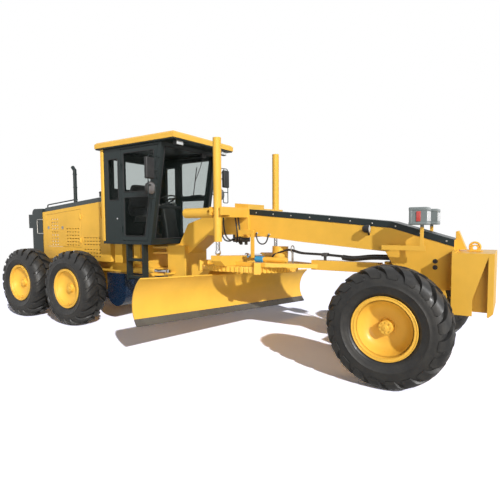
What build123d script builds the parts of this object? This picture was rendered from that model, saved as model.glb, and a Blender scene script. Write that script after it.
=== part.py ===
from build123d import *
import os
from math import acos, cos, degrees, hypot, pi, radians, sin, tan

# Motor grader with articulated frame, tandem rear drive and leaning front wheels.
# Millimetres. X runs forward, Y to the machine's left, Z up. The origin is on the ground
# under the middle of the machine's length.
os.makedirs("parts", exist_ok=True)

# ---------------------------------------------------------------- driving dimensions
LENGTH = 8930  # rear lamps to nose plate
FRONT_OVERHANG = 980  # front axle to nose plate
WHEELBASE = 5600  # front axle to middle wheels
TANDEM_SPACING = 1520  # middle wheels to rear wheels
TRACK = 2156  # between the wheels' middle planes
TYRE_RADIUS = 675
TYRE_WIDTH = 444
PIVOT_AHEAD = 1400  # articulation pin ahead of the middle wheels
RUNNING_GAP = 0.3  # between faces that turn or slide on each other
PIN_GAP = 0.1  # around a pin in its bore
MOVING_GAP = 6  # between a moving piece and what it passes

FRONT_X = LENGTH / 2 - FRONT_OVERHANG
MID_X = FRONT_X - WHEELBASE
REAR_X = MID_X - TANDEM_SPACING
PIVOT_X = MID_X + PIVOT_AHEAD
TANDEM_X = (MID_X + REAR_X) / 2
TAIL_X = -LENGTH / 2
NOSE_X = LENGTH / 2
AXLE_Z = TYRE_RADIUS
WHEEL_Y = TRACK / 2


# ---------------------------------------------------------------- shape helpers
def block(x, y, z):
    """A box given by its low and high end along each axis."""
    size = [high - low for low, high in (x, y, z)]
    middle = [(high + low) / 2 for low, high in (x, y, z)]
    return Pos(*middle) * Box(*size)


def side_plate(outline, low, high):
    """An outline in X and Z, thick from y = low to y = high."""
    plane = Plane(origin=(0, high, 0), x_dir=(1, 0, 0), z_dir=(0, -1, 0))
    return extrude(plane * make_face(Polyline(*outline, close=True)), high - low)


def flat_plate(outline, low, high):
    """An outline in X and Y, thick from z = low to z = high."""
    plane = Plane(origin=(0, 0, low))
    return extrude(plane * make_face(Polyline(*outline, close=True)), high - low)


def cross_plate(outline, low, high):
    """An outline in Y and Z, thick from x = low to x = high."""
    plane = Plane(origin=(low, 0, 0), x_dir=(0, 1, 0), z_dir=(1, 0, 0))
    return extrude(plane * make_face(Polyline(*outline, close=True)), high - low)


def bar(start, end, radius):
    """A round bar between two points."""
    start, end = Vector(*start), Vector(*end)
    plane = Plane(origin=start, z_dir=end - start)
    return extrude(plane * Circle(radius), (end - start).length)


def pipe(start, end, outer, inner):
    """A round tube between two points."""
    start, end = Vector(*start), Vector(*end)
    plane = Plane(origin=start, z_dir=end - start)
    return extrude(plane * (Circle(outer) - Circle(inner)), (end - start).length)


def blind_pipe(start, end, outer, inner, cap):
    """A tube closed by a cap at its start."""
    length = (Vector(*end) - Vector(*start)).length
    along = (Vector(*end) - Vector(*start)).normalized()
    floor = Vector(*start) + along * cap
    return bar(start, end, outer) - bar(floor, Vector(*end) + along * length, inner)


def left_of(shape):
    """The same shape on the machine's other side."""
    return mirror(shape, about=Plane.XZ)


def write(node, *shapes):
    """Export one node, made of one solid or of solids that only touch or stay apart."""
    shape = shapes[0] if len(shapes) == 1 else Compound(children=list(shapes))
    export_step(shape, f"parts/{node}.step")


HINGE_PIN = 12
HINGE_LEAF = 6
HINGE_KNUCKLE = 50


def hinge_half(x, y, heights, forward):
    """Half of a strap hinge on the left side: its knuckles stand on the panel's face at y."""
    halves = []
    for z in heights:
        knuckle_y = y + HINGE_PIN + RUNNING_GAP
        strap = block(sorted((x, x + forward * 70)), (y, y + HINGE_LEAF), (z, z + HINGE_KNUCKLE))
        halves.append(strap + bar((x, knuckle_y, z), (x, knuckle_y, z + HINGE_KNUCKLE), HINGE_PIN))
    return halves


# ---------------------------------------------------------------- wheels
FACETS = 34  # flats round a tyre, one lug on each, left and right in turn
TREAD_FLAT = TYRE_RADIUS - 32
TREAD_HALF = 192
CREST_RADIUS = 505
RIM_SEAT = 318
RIM_HALF = 180  # wheel middle to the inner face of a rim flange
RIM_FLANGE = 356
FLANGE_THICK = 12
LUG_WIDTH = 62
LUG_INNER = 14
LUG_SLANT = 12
WELL_RADIUS = 300
DISC_THICK = 16
HUB_RADIUS = 85
SPINDLE_RADIUS = 45
HUB_INNER = 120  # wheel middle to the hub's inner end
HUB_DEPTH = 150  # length of the hub's bore


def facet_corner(flat, y, angle):
    """Corner between two flats at the given radius, its angle in degrees from straight down."""
    corner = flat / cos(pi / FACETS)
    return (corner * sin(radians(angle)), y, -corner * cos(radians(angle)))


def faceted_ring(profile):
    """Ring about Y of flat facets, from a closed profile of (radius, y) corners."""
    faces = []
    for i in range(FACETS):
        sides = [360 * (i + step) / FACETS for step in (-0.5, 0.5)]
        for (radius_a, y_a), (radius_b, y_b) in zip(profile, profile[1:] + profile[:1]):
            corners = [
                facet_corner(radius_a, y_a, sides[0]),
                facet_corner(radius_a, y_a, sides[1]),
                facet_corner(radius_b, y_b, sides[1]),
                facet_corner(radius_b, y_b, sides[0]),
            ]
            faces.append(Face(Wire.make_polygon(corners)))
    return Solid(Shell(faces))


def build_tyre():
    """Tyre about the origin: flat-sided casing with a lug standing on every flat."""
    half = TYRE_WIDTH / 2
    bore = RIM_SEAT + RUNNING_GAP
    slope = (half - RIM_HALF + RUNNING_GAP) / (CREST_RADIUS - RIM_FLANGE - 2)
    bead = half - slope * (CREST_RADIUS - bore)
    one_side = [(TREAD_FLAT, TREAD_HALF), (CREST_RADIUS, half), (bore, bead)]
    other_side = [(radius, -y) for radius, y in reversed(one_side)]
    tyre = faceted_ring(one_side + other_side)
    lugs = []
    for i in range(FACETS):
        side = 1 if i % 2 else -1
        length = TREAD_HALF - LUG_INNER - LUG_WIDTH * sin(radians(LUG_SLANT))
        lug = Pos(0, side * (LUG_INNER + TREAD_HALF) / 2, -(TREAD_FLAT + TYRE_RADIUS) / 2) * (
            Rot(0, 0, side * LUG_SLANT) * Box(LUG_WIDTH, length, TYRE_RADIUS - TREAD_FLAT)
        )
        lugs.append(Rot(0, -360 * i / FACETS, 0) * lug)
    return tyre.fuse(*lugs)


def build_rim(disc_y, cap_y):
    """Rim about the origin for the left side: welded dish, hub and flanges round Y."""
    lip = RIM_HALF + FLANGE_THICK
    inner_lip = [(WELL_RADIUS, -lip), (RIM_FLANGE, -lip), (RIM_FLANGE, -RIM_HALF)]
    seat = [(RIM_SEAT, -RIM_HALF), (RIM_SEAT, RIM_HALF)]
    outer_lip = [(RIM_FLANGE, RIM_HALF), (RIM_FLANGE, lip), (WELL_RADIUS + 14, lip)]
    dish = [(WELL_RADIUS - 30, disc_y), (HUB_RADIUS, disc_y), (HUB_RADIUS - 12, cap_y), (0, cap_y)]
    hub = [
        (0, HUB_DEPTH - HUB_INNER),
        (SPINDLE_RADIUS + PIN_GAP, HUB_DEPTH - HUB_INNER),
        (SPINDLE_RADIUS + PIN_GAP, -HUB_INNER),
        (HUB_RADIUS, -HUB_INNER),
        (HUB_RADIUS, disc_y - DISC_THICK),
        (WELL_RADIUS, disc_y - DISC_THICK),
    ]
    outline = inner_lip + seat + outer_lip + dish + hub
    face = make_face(Polyline(*outline, close=True))
    return revolve(Plane(origin=(0, 0, 0), x_dir=(1, 0, 0), z_dir=(0, 0, 1)) * face, Axis.Y)


FRONT_DISC_Y = 10
FRONT_CAP_Y = 110
REAR_DISC_Y = 70
REAR_CAP_Y = 130
tyre = build_tyre()
front_rim = build_rim(FRONT_DISC_Y, FRONT_CAP_Y)
rear_rim = build_rim(REAR_DISC_Y, REAR_CAP_Y)
for axle, x, rim in (("front", FRONT_X, front_rim), ("mid", MID_X, rear_rim), ("rear", REAR_X, rear_rim)):
    left = Pos(x, WHEEL_Y, AXLE_Z)
    write(f"tyre_{axle}_left", left * tyre)
    write(f"rim_{axle}_left", left * rim)
    write(f"tyre_{axle}_right", left_of(left * tyre))
    write(f"rim_{axle}_right", left_of(left * rim))

# ---------------------------------------------------------------- tandem drive
CASE_INNER_Y = 640
CASE_OUTER_Y = 820
CASE_RADIUS = 225
AXLE_TUBE_RADIUS = 140
RAIL_BOTTOM = 920
RAIL_TOP = 1110
RAIL_INNER_Y = 300
RAIL_OUTER_Y = 420
SPINDLE_END_Y = WHEEL_Y - HUB_INNER + HUB_DEPTH - 10


def tandem_case():
    """Left chain case with the two wheel spindles that stand out of it."""
    case = block((REAR_X, MID_X), (CASE_INNER_Y, CASE_OUTER_Y), (AXLE_Z - CASE_RADIUS, AXLE_Z + CASE_RADIUS))
    for x in (REAR_X, MID_X):
        case += bar((x, CASE_INNER_Y, AXLE_Z), (x, CASE_OUTER_Y, AXLE_Z), CASE_RADIUS)
        boss_end = WHEEL_Y - HUB_INNER - RUNNING_GAP
        case += bar((x, CASE_OUTER_Y, AXLE_Z), (x, boss_end, AXLE_Z), HUB_RADIUS)
        case += bar((x, CASE_OUTER_Y, AXLE_Z), (x, SPINDLE_END_Y, AXLE_Z), SPINDLE_RADIUS)
    return case


tandem = tandem_case() + left_of(tandem_case())
tandem += bar((TANDEM_X, -CASE_INNER_Y, AXLE_Z), (TANDEM_X, CASE_INNER_Y, AXLE_Z), AXLE_TUBE_RADIUS)
tandem += block((TANDEM_X - 200, TANDEM_X + 240), (-210, 210), (AXLE_Z - 230, AXLE_Z + 200))
for side in (-1, 1):
    pad_y = sorted((side * RAIL_INNER_Y, side * RAIL_OUTER_Y))
    tandem += block((TANDEM_X - 180, TANDEM_X + 180), pad_y, (AXLE_Z, RAIL_BOTTOM))
write("tandem_axle", tandem)

# ---------------------------------------------------------------- rear frame
RADIATOR_DEPTH = 380
LAMP_REACH = 140  # lamps behind the radiator housing
HEAD_BACK = PIVOT_X - 370  # articulation head behind the pin
HEAD_FRONT = PIVOT_X - 250
HEAD_HALF = 340
HEAD_BOTTOM = 850
HEAD_TOP = 1440
LUG_THICK = 60
EAR_THICK = 40
LOWER_LUG_Z = 940  # middle of the lower hinge lug
UPPER_LUG_Z = 1340
LUG_RADIUS = 110
PIVOT_PIN = 45
RADIATOR_TAIL = TAIL_X + LAMP_REACH
FRAME_TAIL = RADIATOR_TAIL


def hinge_ear(z_low, z_high):
    """One ear of the articulation head, round the pivot pin."""
    ear = flat_plate(
        [
            (HEAD_FRONT, -HEAD_HALF + 100),
            (PIVOT_X, -LUG_RADIUS),
            (PIVOT_X, LUG_RADIUS),
            (HEAD_FRONT, HEAD_HALF - 100),
        ],
        z_low,
        z_high,
    )
    return ear + bar((PIVOT_X, 0, z_low), (PIVOT_X, 0, z_high), LUG_RADIUS)


rear_frame = block((HEAD_BACK, HEAD_FRONT), (-HEAD_HALF, HEAD_HALF), (HEAD_BOTTOM, HEAD_TOP))
for side in (-1, 1):
    rail_y = sorted((side * RAIL_INNER_Y, side * RAIL_OUTER_Y))
    rear_frame += block((FRAME_TAIL, HEAD_BACK), rail_y, (RAIL_BOTTOM, RAIL_TOP))
CROSS_WIDTH = 120
CROSS_STATIONS = (FRAME_TAIL, REAR_X + 60, TANDEM_X + 320, MID_X + 60, HEAD_BACK - 420)
for x in CROSS_STATIONS:
    rear_frame += block((x, x + CROSS_WIDTH), (-RAIL_INNER_Y, RAIL_INNER_Y), (RAIL_BOTTOM, RAIL_TOP))
for z in (LOWER_LUG_Z, UPPER_LUG_Z):
    under = z - LUG_THICK / 2 - RUNNING_GAP
    over = z + LUG_THICK / 2 + RUNNING_GAP
    rear_frame += hinge_ear(under - EAR_THICK, under)
    rear_frame += hinge_ear(over, over + EAR_THICK)
    rear_frame += bar((PIVOT_X, 0, under - EAR_THICK), (PIVOT_X, 0, over + EAR_THICK), PIVOT_PIN)

# cab supports, from the rails up to the cab floor
CAB_FLOOR_BOTTOM = 1470
CAB_REAR_X = PIVOT_X - 980
for x, depth in ((CAB_REAR_X + 60, 200), (HEAD_BACK - 40, 160)):
    for side in (-1, 1):
        post_y = sorted((side * RAIL_INNER_Y, side * 560))
        rear_frame += block((x, x + depth), post_y, (RAIL_TOP, CAB_FLOOR_BOTTOM))

# rear push plate and drawbar hitch
HITCH_BORE = 27
HITCH_Z = 1000
HITCH_REACH = 110
rear_frame += block((FRAME_TAIL - 30, FRAME_TAIL), (-430, 430), (760, RAIL_TOP))
for z in (HITCH_Z - 75, HITCH_Z + 45):
    jaw = block((FRAME_TAIL - 30 - HITCH_REACH, FRAME_TAIL - 30), (-60, 60), (z, z + 30))
    rear_frame += jaw
hitch_x = FRAME_TAIL - 30 - HITCH_REACH + 55
rear_frame -= bar((hitch_x, 0, HITCH_Z - 100), (hitch_x, 0, HITCH_Z + 100), HITCH_BORE)

# lugs for the articulation cylinders, outside the rails
SWING_EYE_Y = 545
SWING_EYE_Z = 1000
SWING_EYE_X = PIVOT_X - 535
SWING_LUG_GAP = 27  # half the space between the two ears
for side in (-1, 1):
    lug_y = sorted((side * RAIL_OUTER_Y, side * (SWING_EYE_Y + 40)))
    for z in (SWING_EYE_Z - SWING_LUG_GAP - 20, SWING_EYE_Z + SWING_LUG_GAP):
        rear_frame += block((SWING_EYE_X - 45, SWING_EYE_X + 45), lug_y, (z, z + 20))
    rear_frame += bar(
        (SWING_EYE_X, side * SWING_EYE_Y, SWING_EYE_Z - SWING_LUG_GAP),
        (SWING_EYE_X, side * SWING_EYE_Y, SWING_EYE_Z + SWING_LUG_GAP),
        25,
    )
write("rear_frame", rear_frame)

# ---------------------------------------------------------------- engine, tank, hood
TANK_FRONT = MID_X + 800
TANK_LENGTH = 500
TANK_HALF = 600
TANK_BOTTOM = 300
TANK_TOP = RAIL_BOTTOM
tank_back = TANK_FRONT - TANK_LENGTH
tank_round = TANK_LENGTH / 2
tank = block((tank_back, TANK_FRONT), (-TANK_HALF, TANK_HALF), (TANK_BOTTOM + tank_round, TANK_TOP))
tank += bar(
    (tank_back + tank_round, -TANK_HALF, TANK_BOTTOM + tank_round),
    (tank_back + tank_round, TANK_HALF, TANK_BOTTOM + tank_round),
    tank_round,
)
write("fuel_tank", tank)

HOOD_HALF = 550
HOOD_BOTTOM = RAIL_TOP
HOOD_REAR = RADIATOR_TAIL + RADIATOR_DEPTH
HOOD_FRONT = CAB_REAR_X - 70
HOOD_EDGE_REAR = 2090
HOOD_EDGE_FRONT = 2275
PANEL = 25
COVER_RISE = 100
hood_length = HOOD_FRONT - HOOD_REAR
ENGINE_BACK = HOOD_REAR + hood_length * 0.17
ENGINE_FRONT = HOOD_FRONT - hood_length * 0.303
ENGINE_HALF = 340
ENGINE_TOP = HOOD_EDGE_REAR - 190
write(
    "engine_block",
    block((ENGINE_BACK, ENGINE_FRONT), (-ENGINE_HALF, ENGINE_HALF), (RAIL_TOP, ENGINE_TOP)),
)
hood_slope = (HOOD_EDGE_FRONT - HOOD_EDGE_REAR) / (HOOD_FRONT - HOOD_REAR)


def hood_edge(x):
    """Height of the hood's sloping top edge at x."""
    return HOOD_EDGE_REAR + hood_slope * (x - HOOD_REAR)


hood = side_plate(
    [
        (HOOD_REAR, HOOD_BOTTOM),
        (HOOD_FRONT, HOOD_BOTTOM),
        (HOOD_FRONT, HOOD_EDGE_FRONT),
        (HOOD_REAR, HOOD_EDGE_REAR),
    ],
    -HOOD_HALF,
    HOOD_HALF,
)
hood -= block(
    (HOOD_REAR - 10, HOOD_FRONT - PANEL), (-HOOD_HALF + PANEL, HOOD_HALF - PANEL), (HOOD_BOTTOM - 10, 2400)
)
# side door openings above the tyres, and the doors that fill them
DOOR_SEAM = 5
LOUVRE_PITCH_X = 0.0404 * hood_length
LOUVRE_LONG = 0.7 * LOUVRE_PITCH_X
HOOD_DOOR_REAR = HOOD_REAR + hood_length * 15 / 218
HOOD_DOOR_FRONT = HOOD_REAR + hood_length * 131 / 218
HOOD_DOOR_BOTTOM = 2 * TYRE_RADIUS + 16
HOOD_DOOR_DROP = 70  # door top below the hood's edge


def hood_door_outline(seam):
    """Outline of a side door, shrunk by the seam."""
    low, high = HOOD_DOOR_REAR + seam, HOOD_DOOR_FRONT - seam
    return [
        (low, HOOD_DOOR_BOTTOM + seam),
        (high, HOOD_DOOR_BOTTOM + seam),
        (high, hood_edge(high) - HOOD_DOOR_DROP - seam),
        (low, hood_edge(low) - HOOD_DOOR_DROP - seam),
    ]


hood -= side_plate(hood_door_outline(0), -HOOD_HALF - 10, HOOD_HALF + 10)
door = side_plate(hood_door_outline(DOOR_SEAM), HOOD_HALF - PANEL, HOOD_HALF)
# louvres: each group's first column and lowest slot, with its count of columns and rows
LOUVRE_HIGH = 16
LOUVRE_PITCH_Z = 66
DOOR_LOUVRE_Z = HOOD_DOOR_BOTTOM + 34
PANEL_LOUVRE_X = HOOD_DOOR_FRONT + 0.9 * LOUVRE_PITCH_X
DOOR_LOUVRES = (
    (HOOD_DOOR_REAR + 1.7 * LOUVRE_PITCH_X, DOOR_LOUVRE_Z),
    (HOOD_DOOR_REAR + 7.7 * LOUVRE_PITCH_X, DOOR_LOUVRE_Z),
)
DOOR_LOUVRE_COUNTS = ((3, 9), (5, 6))
PANEL_LOUVRES = ((PANEL_LOUVRE_X, HOOD_BOTTOM + 80), (PANEL_LOUVRE_X, HOOD_BOTTOM + 310))
PANEL_LOUVRE_COUNTS = ((6, 3), (6, 3))


def louvre_cuts(groups, counts):
    """Slots through the left side panel, by group."""
    cuts = []
    for (x_first, z_low), (columns, rows) in zip(groups, counts):
        for column in range(columns):
            for row in range(rows):
                x = x_first + column * LOUVRE_PITCH_X
                z = z_low + row * LOUVRE_PITCH_Z
                cuts.append(
                    block((x, x + LOUVRE_LONG), (HOOD_HALF - PANEL - 5, HOOD_HALF + 5), (z, z + LOUVRE_HIGH))
                )
    return cuts


door = door.cut(*louvre_cuts(DOOR_LOUVRES, DOOR_LOUVRE_COUNTS))
panel_cuts = louvre_cuts(PANEL_LOUVRES, PANEL_LOUVRE_COUNTS)
hood = hood.cut(*panel_cuts, *[left_of(cut) for cut in panel_cuts])
HOOD_HINGES = (HOOD_DOOR_BOTTOM + 90, HOOD_DOOR_BOTTOM + 560)
for strap in hinge_half(HOOD_DOOR_FRONT, HOOD_HALF, HOOD_HINGES, -1):
    door += strap
fixed_heights = [z + HINGE_KNUCKLE + RUNNING_GAP for z in HOOD_HINGES]
for strap in hinge_half(HOOD_DOOR_FRONT, HOOD_HALF, fixed_heights, 1):
    hood += strap
    hood += left_of(strap)
write("hood", hood)
write("hood_door_left", door)
write("hood_door_right", left_of(door))

COVER_INSET = 70
cover_sections = []
for x in (HOOD_REAR, HOOD_FRONT):
    z = hood_edge(x)
    plane = Plane(origin=(x, 0, 0), x_dir=(0, 1, 0), z_dir=(1, 0, 0))
    points = [
        (-HOOD_HALF, z),
        (-HOOD_HALF + COVER_INSET, z + COVER_RISE),
        (HOOD_HALF - COVER_INSET, z + COVER_RISE),
        (HOOD_HALF, z),
    ]
    cover_sections.append(plane * make_face(Polyline(*points, close=True)))
hood_top = loft(cover_sections, ruled=True)
inner_sections = []
for x in (HOOD_REAR - 1, HOOD_FRONT - PANEL):
    z = hood_edge(x)
    plane = Plane(origin=(x, 0, 0), x_dir=(0, 1, 0), z_dir=(1, 0, 0))
    points = [
        (-HOOD_HALF + 2 * PANEL, z - 1),
        (-HOOD_HALF + 2 * PANEL + COVER_INSET, z + COVER_RISE - PANEL),
        (HOOD_HALF - 2 * PANEL - COVER_INSET, z + COVER_RISE - PANEL),
        (HOOD_HALF - 2 * PANEL, z - 1),
    ]
    inner_sections.append(plane * make_face(Polyline(*points, close=True)))
hood_top -= loft(inner_sections, ruled=True)
write("hood_top", hood_top)

RADIATOR_BOTTOM = 1200
RADIATOR_TOP = 2170
RADIATOR_HALF = 560
RADIATOR_ROUND = 110
radiator = side_plate(
    [
        (RADIATOR_TAIL, RADIATOR_BOTTOM),
        (HOOD_REAR, RADIATOR_BOTTOM),
        (HOOD_REAR, RADIATOR_TOP),
        (RADIATOR_TAIL, RADIATOR_TOP),
    ],
    -RADIATOR_HALF,
    RADIATOR_HALF,
)
corner = [
    edge
    for edge in radiator.edges().filter_by(Axis.Y)
    if edge.center().X < HOOD_REAR - 1 and edge.center().Z > RADIATOR_TOP - 1
]
radiator = fillet(corner, RADIATOR_ROUND)
RADIATOR_WALL = 40
radiator -= block(
    (RADIATOR_TAIL + RADIATOR_WALL, HOOD_REAR + 1),
    (-RADIATOR_HALF + RADIATOR_WALL, RADIATOR_HALF - RADIATOR_WALL),
    (RADIATOR_BOTTOM + RADIATOR_WALL, RADIATOR_TOP - RADIATOR_WALL - 60),
)
# rear grille openings between flat bars
GRILLE_ROWS = 6
GRILLE_PITCH = 120
for row in range(GRILLE_ROWS):
    z = RADIATOR_BOTTOM + 110 + row * GRILLE_PITCH
    radiator -= block((RADIATOR_TAIL - 5, RADIATOR_TAIL + 45), (-430, 430), (z, z + 85))
radiator += block(
    (RADIATOR_TAIL + 60, HOOD_REAR), (-RAIL_OUTER_Y, RAIL_OUTER_Y), (RAIL_TOP, RADIATOR_BOTTOM)
)
# rear lamps on the housing's corners
LAMP_BOTTOM = 1750
LAMP_HEIGHT = 300
for side in (-1, 1):
    lamp_y = sorted((side * (RADIATOR_HALF - 120), side * RADIATOR_HALF))
    radiator += block((TAIL_X, RADIATOR_TAIL), lamp_y, (LAMP_BOTTOM, LAMP_BOTTOM + LAMP_HEIGHT))
write("radiator_housing", radiator)

# exhaust stack and intake pre-cleaner on the hood's top
STACK_X = HOOD_REAR + hood_length * 0.2706
STACK_Y = -150
STACK_RADIUS = 38
STACK_TOP = 3060
CLEANER_X = HOOD_REAR + hood_length * 0.633
cover_at_stack = hood_edge(STACK_X) + COVER_RISE
cover_at_cleaner = hood_edge(CLEANER_X) + COVER_RISE
stack = bar((STACK_X, STACK_Y, cover_at_stack - 10), (STACK_X, STACK_Y, cover_at_stack + 30), 70)
stack += bar((STACK_X, STACK_Y, cover_at_stack + 30), (STACK_X, STACK_Y, STACK_TOP - 60), STACK_RADIUS)
stack += bar((STACK_X, STACK_Y, STACK_TOP - 75), (STACK_X - 70, STACK_Y, STACK_TOP), STACK_RADIUS)
cleaner = bar((CLEANER_X, 0, cover_at_cleaner - 10), (CLEANER_X, 0, cover_at_cleaner + 170), 55)
cleaner += bar((CLEANER_X, 0, cover_at_cleaner + 90), (CLEANER_X, 0, cover_at_cleaner + 190), 120)
write("exhaust_and_intake", stack - hood_top, cleaner - hood_top)

# ---------------------------------------------------------------- cab
CAB_HALF = 750
CAB_WALL = 50
CAB_FLOOR = 40
CAB_TOP = 3180
WINDSCREEN_FOOT = PIVOT_X + 220
WINDSCREEN_HEAD = PIVOT_X + 520
screen_slope = (WINDSCREEN_HEAD - WINDSCREEN_FOOT) / (CAB_TOP - CAB_FLOOR_BOTTOM)


def screen_x(z, inward=0):
    """X of the leaning windscreen plane at height z, moved inward."""
    return WINDSCREEN_FOOT + screen_slope * (z - CAB_FLOOR_BOTTOM) - inward


def cab_outline(inset, low, high):
    """Side outline of the cab between two heights, walls drawn in by the inset."""
    return [
        (CAB_REAR_X + inset, low),
        (screen_x(low, inset), low),
        (screen_x(high, inset), high),
        (CAB_REAR_X + inset, high),
    ]


cab = side_plate(cab_outline(0, CAB_FLOOR_BOTTOM, CAB_TOP), -CAB_HALF, CAB_HALF)
cab -= side_plate(
    cab_outline(CAB_WALL, CAB_FLOOR_BOTTOM + CAB_FLOOR, CAB_TOP + 10),
    -CAB_HALF + CAB_WALL,
    CAB_HALF - CAB_WALL,
)
# cab door openings: upright at the rear, leaning with the windscreen post in front
DOOR_HINGE_X = CAB_REAR_X + 500
DOOR_POST = 80
DOOR_BOTTOM = CAB_FLOOR_BOTTOM + 60
DOOR_TOP = CAB_TOP - 60


def door_outline(gap, bottom, top):
    """Outline of a cab door, drawn in by the gap."""
    return [
        (DOOR_HINGE_X + gap, bottom + gap),
        (screen_x(bottom + gap, DOOR_POST + gap), bottom + gap),
        (screen_x(top - gap, DOOR_POST + gap), top - gap),
        (DOOR_HINGE_X + gap, top - gap),
    ]


cab -= side_plate(door_outline(0, DOOR_BOTTOM, DOOR_TOP), -CAB_HALF - 10, CAB_HALF + 10)
REAR_SIDE_WINDOW = ((CAB_REAR_X + 170, CAB_REAR_X + 430), (CAB_TOP - 930, CAB_TOP - 210))
REAR_WINDOW = ((-520, 520), (CAB_TOP - 700, CAB_TOP - 160))
SCREEN_BOTTOM = CAB_FLOOR_BOTTOM + 100
SCREEN_TOP = CAB_TOP - 90
SCREEN_HALF = CAB_HALF - 80
(window_x, window_z) = REAR_SIDE_WINDOW
cab -= block(window_x, (-CAB_HALF - 10, CAB_HALF + 10), window_z)
cab -= block((CAB_REAR_X - 10, CAB_REAR_X + CAB_WALL + 10), *REAR_WINDOW)
screen_cut = [
    (screen_x(SCREEN_BOTTOM, 80), SCREEN_BOTTOM),
    (screen_x(SCREEN_BOTTOM, -20), SCREEN_BOTTOM),
    (screen_x(SCREEN_TOP, -20), SCREEN_TOP),
    (screen_x(SCREEN_TOP, 80), SCREEN_TOP),
]
cab -= side_plate(screen_cut, -SCREEN_HALF, SCREEN_HALF)
CAB_HINGES = (DOOR_BOTTOM + 150, DOOR_TOP - 350)
fixed_heights = [z + HINGE_KNUCKLE + RUNNING_GAP for z in CAB_HINGES]
for strap in hinge_half(DOOR_HINGE_X, CAB_HALF, fixed_heights, -1):
    cab += strap
    cab += left_of(strap)
write("cab_shell", cab)

GLASS = 8
glass_inset = (CAB_WALL - GLASS) / 2
windscreen = [
    (screen_x(SCREEN_BOTTOM, glass_inset + GLASS), SCREEN_BOTTOM),
    (screen_x(SCREEN_BOTTOM, glass_inset), SCREEN_BOTTOM),
    (screen_x(SCREEN_TOP, glass_inset), SCREEN_TOP),
    (screen_x(SCREEN_TOP, glass_inset + GLASS), SCREEN_TOP),
]
pane = block(window_x, (CAB_HALF - glass_inset - GLASS, CAB_HALF - glass_inset), window_z)
write(
    "cab_glass",
    side_plate(windscreen, -SCREEN_HALF, SCREEN_HALF),
    block((CAB_REAR_X + glass_inset, CAB_REAR_X + glass_inset + GLASS), *REAR_WINDOW),
    pane,
    left_of(pane),
)

ROOF_REAR = CAB_REAR_X - 110
ROOF_FRONT = WINDSCREEN_HEAD + 310
ROOF_HALF = 815
ROOF_THICK = 105
roof = block((ROOF_REAR, ROOF_FRONT), (-ROOF_HALF, ROOF_HALF), (CAB_TOP, CAB_TOP + ROOF_THICK))
roof = chamfer(roof.faces().sort_by(Axis.Z)[-1].edges(), 30)
write("cab_roof", roof)

# doors: a frame with an upper and a lower pane
DOOR_FRAME = 75
DOOR_GAP = MOVING_GAP
SILL_LOW = (DOOR_BOTTOM + DOOR_TOP) / 2 - 35
SILL_HIGH = SILL_LOW + 80


def door_window(gap, bottom, top):
    """Outline of one door pane between two heights."""
    inset = DOOR_POST + gap
    return [
        (DOOR_HINGE_X + gap, bottom),
        (screen_x(bottom, inset), bottom),
        (screen_x(top, inset), top),
        (DOOR_HINGE_X + gap, top),
    ]


door_y = (CAB_HALF - CAB_WALL, CAB_HALF)
glass_y = (CAB_HALF - glass_inset - GLASS, CAB_HALF - glass_inset)
cab_door = side_plate(door_outline(DOOR_GAP, DOOR_BOTTOM, DOOR_TOP), *door_y)
panes = []
pane_heights = ((DOOR_BOTTOM + DOOR_FRAME + 10, SILL_LOW), (SILL_HIGH, DOOR_TOP - DOOR_FRAME))
for low, high in pane_heights:
    outline = door_window(DOOR_FRAME, low, high)
    cab_door -= side_plate(outline, door_y[0] - 5, door_y[1] + 5)
    panes.append(side_plate(outline, *glass_y))
for strap in hinge_half(DOOR_HINGE_X, CAB_HALF, CAB_HINGES, 1):
    cab_door += strap
write("cab_door_left", cab_door)
write("cab_door_right", left_of(cab_door))
write("door_glass_left", *panes)
write("door_glass_right", *[left_of(pane) for pane in panes])

# seat on its pedestal and the control console with the steering wheel
floor_top = CAB_FLOOR_BOTTOM + CAB_FLOOR
seat_x = CAB_REAR_X + 420
seat = block((seat_x - 150, seat_x + 200), (-160, 160), (floor_top, floor_top + 350))
seat += block((seat_x - 220, seat_x + 280), (-250, 250), (floor_top + 350, floor_top + 470))
seat += side_plate(
    [
        (seat_x - 230, floor_top + 470),
        (seat_x - 110, floor_top + 470),
        (seat_x - 190, floor_top + 1080),
        (seat_x - 300, floor_top + 1080),
    ],
    -240,
    240,
)
console_x = WINDSCREEN_FOOT - 330
console = side_plate(
    [
        (console_x, floor_top),
        (console_x + 170, floor_top),
        (console_x + 60, floor_top + 680),
        (console_x - 60, floor_top + 680),
    ],
    -170,
    170,
)
wheel_low = Vector(console_x - 60, 0, floor_top + 690)
wheel_up = Vector(-0.45, 0, 1).normalized()
console += bar(wheel_low - wheel_up * 60, wheel_low + wheel_up * 90, 30)
console += bar(wheel_low + wheel_up * 60, wheel_low + wheel_up * 95, 190)
write("cab_interior", seat, console)

# ladders, handrails and mirrors
LADDER_X = (PIVOT_X - 400, PIVOT_X + 20)
LADDER_Y = (620, 740)
LADDER_FOOT = 840
ladder = None
for x in (LADDER_X[0], LADDER_X[1] - 30):
    stringer = block((x, x + 30), LADDER_Y, (LADDER_FOOT, CAB_FLOOR_BOTTOM))
    ladder = stringer if ladder is None else ladder + stringer
for z in (LADDER_FOOT + 40, LADDER_FOOT + 340):
    ladder += block(LADDER_X, LADDER_Y, (z, z + 40))
MIRROR_X = PIVOT_X + 500
MIRROR_Y = 1020
MIRROR_ARM_Z = CAB_TOP - 480
MIRROR_Z = (MIRROR_ARM_Z - 160, MIRROR_ARM_Z + 160)
mirror_foot = (screen_x(MIRROR_ARM_Z, 40), screen_x(MIRROR_ARM_Z, 0))
mirror_arm = bar(
    (screen_x(MIRROR_ARM_Z, 20), CAB_HALF + 10, MIRROR_ARM_Z), (MIRROR_X, MIRROR_Y, MIRROR_ARM_Z), 12
)
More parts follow.
